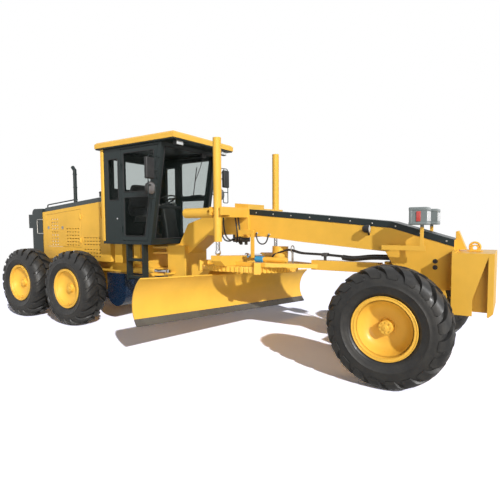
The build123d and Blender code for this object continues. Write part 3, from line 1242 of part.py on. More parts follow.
# centre shift cylinder: barrel pinned on the drawbar, rod eye on the saddle's rest
SHIFT_BARREL = 45
SHIFT_ROD = 25
SHIFT_REACH = 820
shift_pin = on_drawbar(SHIFT_X, SHIFT_PIN_Y, SHIFT_PIN_Z)
shift_eye = Vector(SHIFT_X, SHIFT_ROD_Y, SHIFT_ROD_Z)
along = (shift_eye - shift_pin).normalized()
half = Vector(SHIFT_EYE_HALF, 0, 0)
shift_barrel = bar(shift_pin - half, shift_pin + half, 40)
shift_barrel += bar(shift_pin + along * 20, shift_pin + along * 70, 19)
shift_barrel += blind_pipe(
    shift_pin + along * 50, shift_pin + along * SHIFT_REACH, SHIFT_BARREL, SHIFT_ROD + PIN_GAP, 15
)
shift_barrel -= bar(shift_pin - half * 2, shift_pin + half * 2, SHIFT_PIN + PIN_GAP)
write("shift_barrel", shift_barrel)
shift_rod = bar(shift_pin + along * (SHIFT_REACH - 380), shift_eye - along * 20, SHIFT_ROD)
shift_rod += bar(shift_eye - half, shift_eye + half, SHIFT_EYE)
write("shift_rod", shift_rod)

# articulation cylinders: barrels pinned on the rear frame, rod eyes on the front frame's pads
SWING_ROD = 25
SWING_BARREL = 50
SWING_REACH = 535
SWING_EYE_PIN = 25
for name, side in (("right", -1), ("left", 1)):
    eye_back = Vector(SWING_EYE_X, side * SWING_EYE_Y, SWING_EYE_Z)
    eye_front = Vector(ROD_EYE_X, side * ROD_EYE_Y, SWING_EYE_Z)
    along = (eye_front - eye_back).normalized()
    half = Vector(0, 0, SWING_LUG_GAP - RUNNING_GAP)
    barrel = bar(eye_back - half, eye_back + half, 42)
    barrel += bar(eye_back + along * 20, eye_back + along * 80, 26)
    barrel += blind_pipe(
        eye_back + along * 62, eye_back + along * SWING_REACH, SWING_BARREL, SWING_ROD + PIN_GAP, 18
    )
    barrel -= bar(eye_back - half * 2, eye_back + half * 2, SWING_EYE_PIN + PIN_GAP)
    write(f"swing_barrel_{name}", barrel)
    half = Vector(0, 0, EYE_THICK / 2)
    rod = bar(eye_back + along * 300, eye_front - along * 20, SWING_ROD)
    rod += bar(eye_front - half, eye_front + half, 45)
    write(f"swing_rod_{name}", rod)
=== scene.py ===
"""Looks of a six-wheeled motor grader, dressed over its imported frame.

Every length is in metres in the frame's own axes: X forward, Y to the machine's left, Z up.
"""

import logging
import math
from collections.abc import Iterable, Sequence
from dataclasses import dataclass
from enum import Enum
from functools import cache

import bmesh
import bpy
import numpy as np
from mathutils import Matrix, Vector


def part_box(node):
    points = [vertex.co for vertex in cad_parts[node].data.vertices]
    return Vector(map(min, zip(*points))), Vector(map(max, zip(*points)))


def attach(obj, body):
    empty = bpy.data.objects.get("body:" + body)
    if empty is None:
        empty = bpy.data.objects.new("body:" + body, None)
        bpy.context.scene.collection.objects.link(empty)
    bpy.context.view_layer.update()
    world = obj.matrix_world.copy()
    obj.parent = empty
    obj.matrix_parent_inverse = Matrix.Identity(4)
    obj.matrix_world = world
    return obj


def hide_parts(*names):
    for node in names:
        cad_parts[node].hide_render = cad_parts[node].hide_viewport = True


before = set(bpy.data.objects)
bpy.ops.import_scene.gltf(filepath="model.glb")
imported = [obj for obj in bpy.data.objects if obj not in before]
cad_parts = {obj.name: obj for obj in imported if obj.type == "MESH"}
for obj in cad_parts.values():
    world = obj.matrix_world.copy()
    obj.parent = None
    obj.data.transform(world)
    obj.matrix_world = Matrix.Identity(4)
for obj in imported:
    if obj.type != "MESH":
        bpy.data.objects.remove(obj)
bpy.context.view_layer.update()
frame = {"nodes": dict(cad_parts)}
logging.basicConfig(level=logging.INFO, format="%(message)s")
LOG = logging.getLogger("grader")

Triple = tuple[float, float, float]
Socket = bpy.types.NodeSocket
TURN = 2.0 * math.pi
WHITE = (1.0, 1.0, 1.0)
DEEP = 0.86  # how dark a coat's mottling goes, as a share of its colour
THIN = 0.001  # width of the line between two coats
MERGE = 1e-6  # points nearer than this are one
NO_LENGTH = 1e-7  # edges shorter than this are dropped
SAME_WAY = 0.9995  # cosine of the angle between normals that count as one
LEVEL = 2e-4  # how far off a plane a face may lie and still be of it
SENSOR = 36.0  # width of the camera's sensor in millimetres
FARTHEST = 400.0  # how far the camera sees
RIGHT, LEFT = -1.0, 1.0
BOTH = (RIGHT, LEFT)
NAMED_SIDES = (("left", LEFT), ("right", RIGHT))


class Slot(Enum):
    """The record's material slots."""

    PAINT = "yellow_paint"
    DARK = "dark_paint"
    RUBBER = "tyre_rubber"
    GLASS = "cab_glazing"
    STEEL = "edge_steel"
    CHROME = "rod_chrome"


# ---------------------------------------------------------------- node helpers
class Nodes:
    """The node tree of a material or a world, with short calls that add and join nodes."""

    def __init__(self, owner: bpy.types.Material | bpy.types.World) -> None:
        """Start an empty tree.

        Args:
            owner: What the tree belongs to.
        """
        self.owner = owner
        owner.use_nodes = True
        self.tree = owner.node_tree
        self.tree.nodes.clear()

    def add(self, kind: str, inputs: dict[int | str, Socket | Triple | float],
            output: int | str = 0, **settings: object) -> Socket:
        """Add one node and feed it.

        Args:
            kind: The node type without its ShaderNode prefix.
            inputs: Sockets, colours or numbers for its inputs, by name or number.
            output: Which output is wanted.
            settings: Attributes set on the node.

        Returns:
            That output.
        """
        node = self.tree.nodes.new("ShaderNode" + kind)
        for key, setting in settings.items():
            setattr(node, key, setting)
        for key, fed in inputs.items():
            if isinstance(fed, Socket):
                self.tree.links.new(fed, node.inputs[key])
            else:
                node.inputs[key].default_value = (*fed, 1.0) if isinstance(fed, tuple) else fed
        return node.outputs[output]

    def place(self) -> Socket:
        """The Object coordinates."""
        return self.add("TexCoord", {}, "Object")

    def along(self, axis: int) -> Socket:
        """One of the Object coordinates, 0 for X to 2 for Z."""
        return self.add("SeparateXYZ", {0: self.place()}, axis)

    def ranged(self, value: Socket, low: float, high: float, to_low: float = 0.0,
               to_high: float = 1.0) -> Socket:
        """Map a value from one range to another, clamped.

        Args:
            value: The value.
            low: Start of the range read.
            high: End of the range read.
            to_low: What the start becomes.
            to_high: What the end becomes.

        Returns:
            The mapped value.
        """
        return self.add("MapRange", {0: value, 1: low, 2: high, 3: to_low, 4: to_high})

    def noise(self, scale: float, detail: float, rough: float = 0.55) -> Socket:
        """Noise over the Object coordinates.

        Args:
            scale: Cells to the metre.
            detail: Octaves.
            rough: Weight of the finer octaves.

        Returns:
            The noise, 0 to 1.
        """
        return self.add("TexNoise", {"Vector": self.place(), "Scale": scale, "Detail": detail,
                                     "Roughness": rough})

    def product(self, first: Socket, second: Socket) -> Socket:
        """Multiply two values."""
        return self.add("Math", {0: first, 1: second}, operation="MULTIPLY")

    def mixed(self, share: Socket, first: Socket | Triple, second: Socket | Triple) -> Socket:
        """Mix two colours, where share is how much of the second shows."""
        return self.add("Mix", {0: share, 6: first, 7: second}, 2, data_type="RGBA")

    def blend(self, share: Socket, first: Socket, second: Socket) -> Socket:
        """Mix two shaders, where share is how much of the second shows."""
        return self.add("MixShader", {0: share, 1: first, 2: second})

    def mottle(self, low: float = 0.0) -> Socket:
        """The slow mottling of a sprayed coat, from a lowest value to 1."""
        return self.ranged(self.noise(1.7, 5.0), 0.35, 0.7, low)

    def grain(self, scale: float, detail: float, rough: float, under: float, over: float) -> Socket:
        """Uneven roughness.

        Args:
            scale: Cells to the metre.
            detail: Octaves.
            rough: The middle roughness.
            under: How far it falls below.
            over: How far it rises above.

        Returns:
            The roughness.
        """
        return self.ranged(self.noise(scale, detail), 0.3, 0.7, rough - under, rough + over)

    def bumped(self, value: Socket, depth: float, strength: float, edge: float = 0.0) -> Socket:
        """A normal that follows a height value, over edges that are softened.

        Args:
            value: The height, 0 to 1.
            depth: Metres that 1 stands for.
            strength: Share of the bump that shows.
            edge: Radius to which sharp edges are softened.

        Returns:
            The normal.
        """
        inputs = {"Height": value, "Distance": depth, "Strength": strength}
        if edge:
            inputs["Normal"] = self.add("Bevel", {"Radius": edge}, samples=4)
        return self.add("Bump", inputs)

    def peel(self, edge: float) -> Socket:
        """The fine orange peel of a sprayed coat over softened edges."""
        return self.bumped(self.noise(140.0, 2.0), 0.002, 0.12, edge)

    def shown(self, shader: Socket, kind: str = "Material") -> bpy.types.Material | bpy.types.World:
        """Send a shader to the output.

        Args:
            shader: The finished shader.
            kind: The output's kind.

        Returns:
            The tree's owner.
        """
        self.tree.links.new(shader, self.tree.nodes.new("ShaderNodeOutput" + kind).inputs[0])
        return self.owner

    def painted(self, colour: Socket, rough: Socket | float, normal: Socket,
                **levels: float) -> bpy.types.Material:
        """Finish the tree with one Principled shader.

        Args:
            colour: Its base colour.
            rough: Its roughness.
            normal: Its normal.
            levels: Its other inputs, underscores for spaces.

        Returns:
            The material.
        """
        inputs = {"Base Color": colour, "Roughness": rough, "Normal": normal}
        inputs |= {name.replace("_", " "): level for name, level in levels.items()}
        return self.shown(self.add("BsdfPrincipled", inputs))


# ---------------------------------------------------------------- finishes
@dataclass(frozen=True)
class Finish:
    """What a surface is finished in.

    Attributes:
        name: The material's name.
        slot: The record's slot it stands for.
    """

    name: str
    slot: Slot

    def material(self) -> bpy.types.Material:
        """Build the material."""
        return self.drawn(Nodes(bpy.data.materials.new(self.name)))

    def drawn(self, nodes: Nodes) -> bpy.types.Material:
        """Draw the finish in an empty tree.

        Args:
            nodes: The tree.

        Returns:
            Its material.
        """
        raise NotImplementedError


@dataclass(frozen=True)
class Coat(Finish):
    """Sprayed paint or powder coat with faint mottling, dust low down and fine orange peel.

    Attributes:
        colour: The clean colour, linear.
        dusty: The colour it takes where dust settles.
        rough: Roughness of the clean coat.
        dust: Most dust at the ground, 0 to 1.
        shine: Weight of the clear layer.
        edge: Radius to which sharp edges are softened.
        gloss: Specular level of the pigment coat.
    """

    colour: Triple
    dusty: Triple
    rough: float
    dust: float = 0.25
    shine: float = 0.0
    edge: float = 0.006
    gloss: float = 0.5

    def clean(self, nodes: Nodes) -> Socket:
        """The mottled colour without dust."""
        return nodes.mixed(nodes.mottle(), tuple(DEEP * c for c in self.colour), self.colour)

    def sprayed(self, nodes: Nodes, colour: Socket, **levels: float) -> bpy.types.Material:
        """Finish a tree with the coat's grain, orange peel and softened edges.

        Args:
            nodes: The tree.
            colour: The colour that shows.
            levels: The shader's other inputs.

        Returns:
            The material.
        """
        return nodes.painted(colour, nodes.grain(38.0, 3.0, self.rough, 0.05, 0.08),
                             nodes.peel(self.edge), **levels)

    def drawn(self, nodes: Nodes) -> bpy.types.Material:
        """Draw the paint in an empty tree."""
        low = nodes.ranged(nodes.along(2), 0.0, 1.3, self.dust, 0.04)
        patch = nodes.ranged(nodes.noise(9.0, 8.0, 0.7), 0.35, 0.75)
        colour = nodes.mixed(nodes.product(patch, low), self.clean(nodes), self.dusty)
        return self.sprayed(nodes, colour, Specular_IOR_Level=self.gloss, Coat_Weight=self.shine,
                            Coat_Roughness=0.12)


@dataclass(frozen=True)
class Banded(Finish):
    """Two coats on one casting, parted at a height or by which way a face looks.

    Attributes:
        below: The coat under the line.
        above: The coat over the line.
        line: Height of the line, or None to part faces that look down from the rest.
    """

    below: Coat
    above: Coat
    line: float | None = None

    def drawn(self, nodes: Nodes) -> bpy.types.Material:
        """Draw the two coats in an empty tree."""
        if self.line is None:
            normal = nodes.add("NewGeometry", {}, "True Normal")
            upper = nodes.ranged(nodes.add("SeparateXYZ", {0: normal}, 2), -0.55, -0.5)
        else:
            upper = nodes.ranged(nodes.along(2), self.line - THIN, self.line + THIN)
        both = nodes.mixed(upper, self.below.colour, self.above.colour)
        colour = nodes.add("VectorMath", {0: both, "Scale": nodes.mottle(DEEP)}, operation="SCALE")
        return self.above.sprayed(nodes, colour)


@dataclass(frozen=True)
class TailCoat(Finish):
    """The radiator housing's coat, with coloured bands on its rear lamp faces.

    Attributes:
        coat: The housing's coat.
        face: Lamp faces lie behind this X.
        bands: Each band's lowest height, highest height and colour.
    """

    coat: Coat
    face: float
    bands: tuple[tuple[float, float, Triple], ...]

    def drawn(self, nodes: Nodes) -> bpy.types.Material:
        """Draw the banded coat in an empty tree."""
        behind = nodes.ranged(nodes.along(0), self.face, self.face + THIN, 1.0, 0.0)
        colour = self.coat.clean(nodes)
        for low, high, painted_rib_shade in self.bands:
            above = nodes.ranged(nodes.along(2), low, low + THIN)
            below = nodes.ranged(nodes.along(2), high, high + THIN, 1.0, 0.0)
            share = nodes.product(nodes.product(above, below), behind)
            colour = nodes.mixed(share, colour, painted_rib_shade)
        gloss = nodes.ranged(behind, 0.0, 1.0, self.coat.rough, 0.12)
        return nodes.painted(colour, gloss, nodes.peel(self.coat.edge))


@dataclass(frozen=True)
class Rubber(Finish):
    """Tyre or hose rubber, duller and greyer where it is dusty.

    Attributes:
        colour: The clean rubber.
        dusty: The colour in its pores.
        rough: Roughness.
        skin: Depth of its skin's grain.
    """

    colour: Triple
    dusty: Triple
    rough: float
    skin: float = 0.0012

    def drawn(self, nodes: Nodes) -> bpy.types.Material:
        """Draw the rubber in an empty tree."""
        patch = nodes.ranged(nodes.noise(7.0, 8.0, 0.7), 0.4, 0.8, 0.0, 0.75)
        return nodes.painted(nodes.mixed(patch, self.colour, self.dusty),
                             nodes.grain(25.0, 4.0, self.rough, 0.1, 0.12),
                             nodes.bumped(nodes.noise(90.0, 6.0, 0.7), self.skin, 0.5))


@dataclass(frozen=True)
class Metal(Finish):
    """Bare metal with stains and fine marks.

    Attributes:
        colour: The metal.
        stain: The colour of its stains.
        rough: Roughness.
        metal: How metallic it is.
        stained: Most stain, 0 to 1.
    """

    colour: Triple
    stain: Triple
    rough: float
    metal: float
    stained: float

    def drawn(self, nodes: Nodes) -> bpy.types.Material:
        """Draw the metal in an empty tree."""
        patch = nodes.ranged(nodes.noise(5.0, 9.0, 0.7), 0.42, 0.75, 0.0, self.stained)
        return nodes.painted(nodes.mixed(patch, self.colour, self.stain),
                             nodes.grain(60.0, 4.0, self.rough, 0.04, 0.08),
                             nodes.bumped(nodes.noise(180.0, 3.0), 0.0008, 0.25, 0.003),
                             Metallic=self.metal)


@dataclass(frozen=True)
class Pane(Finish):
    """Tinted safety glass: clear straight through, with a mirror-like face.

    Attributes:
        tint: What light that passes becomes.
    """

    tint: Triple

    def drawn(self, nodes: Nodes) -> bpy.types.Material:
        """Draw the glass in an empty tree."""
        clear = nodes.add("BsdfTransparent", {0: self.tint})
        ripple = nodes.bumped(nodes.noise(3.0, 2.0), 0.004, 0.15)
        gloss = nodes.add("BsdfPrincipled", {"Base Color": (0.02, 0.03, 0.025), "Roughness": 0.04,
                                             "Normal": ripple})
        film = nodes.add("LayerWeight", {0: 0.12}, "Fresnel")
        return nodes.shown(nodes.blend(nodes.ranged(film, 0.0, 1.0, 0.06, 0.85), clear, gloss))


@dataclass(frozen=True)
class Lens(Finish):
    """Moulded lamp lens with fine upright ribs, painted darker in their troughs as painted shade.

    Attributes:
        colour: The plastic.
        ribs: Scale of the ribs' wave.
    """

    colour: Triple
    ribs: float = 30.0

    def drawn(self, nodes: Nodes) -> bpy.types.Material:
        """Draw the lens in an empty tree."""
        wave = nodes.add("TexWave", {0: nodes.place(), "Scale": self.ribs}, 1, bands_direction="Y")
        # painted shade: the ribs' troughs take 0.6 of the lens colour, following the same wave as
        # the bump
        painted_rib_shade = tuple(0.6 * c for c in self.colour)
        return nodes.painted(nodes.mixed(wave, painted_rib_shade, self.colour), 0.12,
                             nodes.bumped(wave, 0.002, 0.5), Coat_Weight=0.8)


@dataclass(frozen=True)
class Weave(Finish):
    """Seat cloth with a tight woven grain.

    Attributes:
        colour: The yarn.
        fleck: The lighter yarn.
    """

    colour: Triple
    fleck: Triple

    def drawn(self, nodes: Nodes) -> bpy.types.Material:
        """Draw the cloth in an empty tree."""
        yarn = nodes.add("TexVoronoi", {"Vector": nodes.place(), "Scale": 260.0}, "Distance")
        return nodes.painted(nodes.mixed(yarn, self.fleck, self.colour), 0.85,
                             nodes.bumped(yarn, 0.002, 0.6), Sheen_Weight=0.3)


YELLOW = Coat("machine_yellow", Slot.PAINT, (0.88, 0.505, 0.066), (0.50, 0.30, 0.10), 0.38,
              dust=0.15, shine=0.06, gloss=0.3)
CHARCOAL = Coat("charcoal_coat", Slot.DARK, (0.016, 0.025, 0.026), (0.07, 0.065, 0.055), 0.36,
                dust=0.2, gloss=0.3)
GREY_PLASTIC = Coat("lamp_grey", Slot.DARK, (0.20, 0.235, 0.24), (0.3, 0.28, 0.24), 0.4,
                    dust=0.2, shine=0.2, edge=0.004)
TANK_BLUE = Coat("tank_black_blue", Slot.DARK, (0.007, 0.022, 0.055), (0.04, 0.05, 0.065), 0.25,
                 dust=0.2, shine=0.3)
SLEEVE_BLUE = Coat("sleeve_blue", Slot.PAINT, (0.03, 0.30, 0.60), (0.2, 0.3, 0.35), 0.4)
ROOF = Banded("roof_two_coat", Slot.PAINT, CHARCOAL, YELLOW)
LAMP_STAND = Banded("lamp_stand_two_coat", Slot.PAINT, YELLOW, GREY_PLASTIC, 1.76)
TAIL = TailCoat("radiator_coat", Slot.DARK, CHARCOAL, -4.463,
                ((1.93, 2.035, (0.45, 0.02, 0.02)), (1.845, 1.925, (0.75, 0.22, 0.02)),
                 (1.765, 1.840, (0.62, 0.64, 0.64))))
TYRE = Rubber("tyre_black", Slot.RUBBER, (0.010, 0.010, 0.0105), (0.040, 0.037, 0.032), 0.46)
HOSE = Rubber("hose_black", Slot.DARK, (0.012, 0.012, 0.013), (0.04, 0.038, 0.035), 0.45, 0.0004)
SEAL = Rubber("window_seal", Slot.DARK, (0.008, 0.008, 0.009), (0.03, 0.03, 0.03), 0.5, 0.0004)
EDGE = Metal("cutting_edge_steel", Slot.STEEL, (0.12, 0.115, 0.10), (0.06, 0.045, 0.035),
             0.5, 0.35, 0.6)
CHROME = Metal("rod_chrome", Slot.CHROME, (0.72, 0.72, 0.74), (0.4, 0.4, 0.4), 0.12, 1.0, 0.2)
ZINC = Metal("zinc_bolt", Slot.STEEL, (0.45, 0.44, 0.42), (0.2, 0.16, 0.11), 0.35, 0.9, 0.4)
IRON = Metal("engine_iron", Slot.STEEL, (0.09, 0.09, 0.09), (0.05, 0.035, 0.025), 0.6, 0.5, 0.7)
CAB_GLASS = Pane("green_safety_glass", Slot.GLASS, (0.865, 0.885, 0.880))
CLEAR_LENS = Lens("clear_lens", Slot.GLASS, (0.72, 0.76, 0.78))
SMOKE_LENS = Lens("smoke_lens", Slot.GLASS, (0.16, 0.15, 0.15))
RED_LENS = Lens("red_lens", Slot.GLASS, (0.55, 0.05, 0.04))
SEAT_CLOTH = Weave("seat_cloth", Slot.DARK, (0.03, 0.032, 0.035), (0.09, 0.09, 0.1))


@cache
def material_of(finish: Finish) -> bpy.types.Material:
    """The finish's material, built once."""
    return finish.material()


# ---------------------------------------------------------------- shapes
@dataclass(frozen=True)
class Shape:
    """A surface as points and four-cornered faces.

    Attributes:
        points: Places, one row each.
        faces: Corner numbers, four to a row.
    """

    points: np.ndarray
    faces: np.ndarray

    def __add__(self, other: "Shape") -> "Shape":
        """Both surfaces as one."""
        return Shape(np.vstack((self.points, other.points)),
                     np.vstack((self.faces, other.faces + len(self.points))))

    def moved(self, x: float = 0.0, y: float = 0.0, z: float = 0.0) -> "Shape":
        """The surface shifted."""
        return Shape(self.points + np.array((x, y, z)), self.faces)

    def paired(self, y: float) -> "Shape":
        """Two copies of the surface, shifted to the right and to the left."""
        return self.moved(y=-y) + self.moved(y=y)

    def turned(self, matrix: np.ndarray | Matrix) -> "Shape":
        """The surface turned by a 3 by 3 matrix."""
        return Shape(self.points @ np.array(matrix).T, self.faces)

    def facing(self, x: float, y: float, z: float) -> "Shape":
        """The surface turned so that its Y axis points along a direction."""
        up = Vector((0.0, 1.0, 0.0))
        return self.turned(up.rotation_difference(Vector((x, y, z))).to_matrix())

    def sided(self, side: float) -> "Shape":
        """The surface as it is on the left, or mirrored for the right with faces outwards."""
        if side > 0:
            return self
        return Shape(self.points * np.array((1.0, -1.0, 1.0)), self.faces[:, ::-1])

    def copied(self, points: np.ndarray) -> "Shape":
        """The surface's faces over several sets of its points, shape (sets, points, 3)."""
        step = (np.arange(len(points)) * len(self.points))[:, None, None]
        return Shape(points.reshape(-1, 3), (self.faces[None] + step).reshape(-1, 4))

    def repeated(self, places: Sequence[Triple] | np.ndarray) -> "Shape":
        """Copies of the surface, one at each place."""
        return self.copied(np.array(places)[:, None, :] + self.points[None])

    def spun(self, count: int, start: float = 0.0) -> "Shape":
        """Copies evenly round the Y axis.

        Args:
            count: How many.
            start: Angle of the first in degrees.

        Returns:
            All the copies as one surface.
        """
        angles = np.radians(start + 360.0 * np.arange(count) / count)
        c, s, o = np.cos(angles), np.sin(angles), np.zeros(count)
        rows = (np.stack((c, o, s), 1), np.stack((o, o + 1, o), 1), np.stack((-s, o, c), 1))
        return self.copied(np.einsum("kij,nj->kni", np.stack(rows, 1), self.points))


def joined(shapes: Iterable[Shape]) -> Shape:
    """Many surfaces as one."""
    total, *others = shapes
    for other in others:
        total += other
    return total


def grid(points: np.ndarray, close_u: bool = False, close_v: bool = False) -> Shape:
    """A surface over a grid of points.

    Args:
        points: Places by row and column, shape (rows, columns, 3).
        close_u: Whether the last row joins the first.
        close_v: Whether the last column joins the first.

    Returns:
        The surface.
    """
    rows, columns = points.shape[:2]
    number = np.arange(rows * columns).reshape(rows, columns)
    number = np.vstack((number, number[:1])) if close_u else number
    number = np.hstack((number, number[:, :1])) if close_v else number
    faces = (number[:-1, :-1], number[:-1, 1:], number[1:, 1:], number[1:, :-1])
    return Shape(points.reshape(-1, 3), np.stack(faces, -1).reshape(-1, 4))


def circle(steps: int) -> tuple[np.ndarray, np.ndarray]:
    """Cosines and sines of angles evenly round a circle."""
    angle = np.linspace(0.0, TURN, steps, endpoint=False)
    return np.cos(angle), np.sin(angle)


def lathe(profile: Sequence[tuple[float, float]] | np.ndarray, steps: int = 48,
          closed: bool = False) -> Shape:
    """A profile of (radius, y) turned about the Y axis: x = r sin a, z = r cos a.

    Args:
        profile: Radius and place along Y, from low y to high y outside.
        steps: Points round.
        closed: Whether the profile is a loop.

    Returns:
        The turned surface.
    """
    radius, along = np.array(profile).T
    c, s = circle(steps)
    rows = (np.outer(s, radius), np.tile(along, (steps, 1)), np.outer(c, radius))
    return grid(np.stack(rows, -1), close_u=True, close_v=closed)


def torus(radius: float, thick: float, steps: int, sides: int, y: float = 0.0) -> Shape:
    """A ring about the Y axis: a small circle turned at a radius.

    Args:
        radius: Radius of the small circle's path.
        thick: The small circle's radius.
        steps: Points round the ring.
        sides: Points round the small circle.
        y: Place of the ring along Y.

    Returns:
        The ring.
    """
    return lathe(np.array((radius, y)) + thick * np.stack(circle(sides), 1), steps, closed=True)


def tube(path: Sequence[Triple] | np.ndarray, radius: float, sides: int = 8,
         aside: Triple = (0.0, 0.0, 1.0)) -> Shape:
    """A round tube along a path, its ring laid across each stretch.

    Args:
        path: Points along the middle.
        radius: The tube's radius.
        sides: Points round it.
        aside: A direction that the path never follows.

    Returns:
        The tube with closed ends.
    """
    path = np.array(path)
    along = np.gradient(path, axis=0)
    along /= np.linalg.norm(along, axis=1, keepdims=True)
    across = np.cross(along, np.array(aside))
    across /= np.linalg.norm(across, axis=1, keepdims=True)
    other = np.cross(along, across)
    c, s = circle(sides)
    ring = c[None, :, None] * across[:, None] + s[None, :, None] * other[:, None]
    start, end = (np.repeat(point, sides, 0)[None] for point in (path[:1], path[-1:]))
    return grid(np.vstack((start, path[:, None] + radius * ring, end)), close_v=True)


def bent(corners: Sequence[Triple], radius: float, steps: int = 6) -> np.ndarray:
    """A path through corners that are rounded by arcs of a parabola.

    Args:
        corners: The corners.
        radius: How far before and after a corner its bend runs.
        steps: Points to a bend.

    Returns:
        The path's points.
    """
    place = np.array(corners, float)
    back, ahead = place[:-2] - place[1:-1], place[2:] - place[1:-1]
    back *= radius / np.linalg.norm(back, axis=1, keepdims=True)
    ahead *= radius / np.linalg.norm(ahead, axis=1, keepdims=True)
    t = np.linspace(0.0, 1.0, steps)[None, :, None]
    arcs = place[1:-1, None] + (1 - t) ** 2 * back[:, None] + t ** 2 * ahead[:, None]
    return np.vstack((place[:1], arcs.reshape(-1, 3), place[-1:]))


def oblong(u: tuple[float, float], v: tuple[float, float]) -> list[tuple[float, float]]:
    """The corners of a rectangle in order round it."""
    return [(u[0], v[0]), (u[1], v[0]), (u[1], v[1]), (u[0], v[1])]


def soft_box(low: Triple, high: Triple, radius: float, rounds: int = 3) -> Shape:
    """A box with rounded edges: each point of a box is drawn in to a ball round its inner box.

    Args:
        low: Lowest corner.
        high: Highest corner.
        radius: Radius of the edges.
        rounds: Steps round an edge.

    Returns:
        The closed surface.
    """
    half = (np.array(high) - np.array(low)) / 2.0
    inner = half - radius
    sides = []
    bend = 1.0 - np.tan(np.linspace(math.pi / 4.0, 0.0, rounds))
    for axis in range(3):
        across = ((axis + 1) % 3, (axis + 2) % 3)
        lines = []
        for reach in inner[list(across)]:
            edge = reach + radius * (1.0 - bend)
            lines.append(np.concatenate((-edge, (-reach, reach), edge[::-1])))
        plane = np.meshgrid(*lines, indexing="ij")
        for sign in BOTH:
            points = np.zeros((*plane[0].shape, 3))
            points[..., axis] = sign * half[axis]
            points[..., across[0]], points[..., across[1]] = plane
            core = np.clip(points, -inner, inner)
            away = points - core
            points = core + radius * away / np.linalg.norm(away, axis=-1, keepdims=True)
            sides.append(grid(points if sign > 0 else points.transpose(1, 0, 2)))
    return joined(sides).moved(*((np.array(high) + np.array(low)) / 2.0))


def bolt(radius: float, height: float) -> Shape:
    """A hexagon bolt head on its washer, standing up Y from y = 0."""
    washer = lathe(np.array(((0.0, 0.0), (1.55, 0.0), (1.55, 0.25), (1.0, 0.25))) * radius, 14)
    head = lathe(((radius, 0.2 * radius), (radius, height * 0.85), (0.86 * radius, height),
                  (0.0, height)), 6)
    return washer + head


def put(name: str, data: bpy.types.ID, finish: Finish, body: str) -> bpy.types.Object:
    """Put a mesh or a curve into the scene as a piece of the machine.

    Args:
        name: The piece's name.
        data: Its mesh or curve.
        finish: What it is finished in.
        body: The body it rides on.

    Returns:
        The piece.
    """
    piece = bpy.data.objects.new(name, data)
    bpy.context.scene.collection.objects.link(piece)
    data.materials.append(material_of(finish))
    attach(piece, body)
    LOG.info("%s rides on %s", name, body)
    return piece


def dress(name: str, shape: Shape, finish: Finish, body: str = "rear_frame",
          smooth: float = 40.0) -> bpy.types.Object:
    """Make a surface a piece of the machine, doubles merged and every face outwards.

    Args:
        name: The piece's name.
        shape: Its surface.
        finish: What it is finished in.
        body: The body it rides on.
        smooth: Edges flatter than this many degrees are shaded smooth.

    Returns:
        The piece.
    """
    mesh = bpy.data.meshes.new(name)
    mesh.from_pydata(shape.points, [], shape.faces)
    work = bmesh.new()
    work.from_mesh(mesh)
    bmesh.ops.remove_doubles(work, verts=work.verts, dist=MERGE)
    bmesh.ops.dissolve_degenerate(work, edges=work.edges, dist=NO_LENGTH)
    bmesh.ops.recalc_face_normals(work, faces=work.faces)
    work.to_mesh(mesh)
    work.free()
    mesh.validate()
    mesh.shade_smooth()
    mesh.set_sharp_from_angle(angle=math.radians(smooth))
    return put(name, mesh, finish, body)


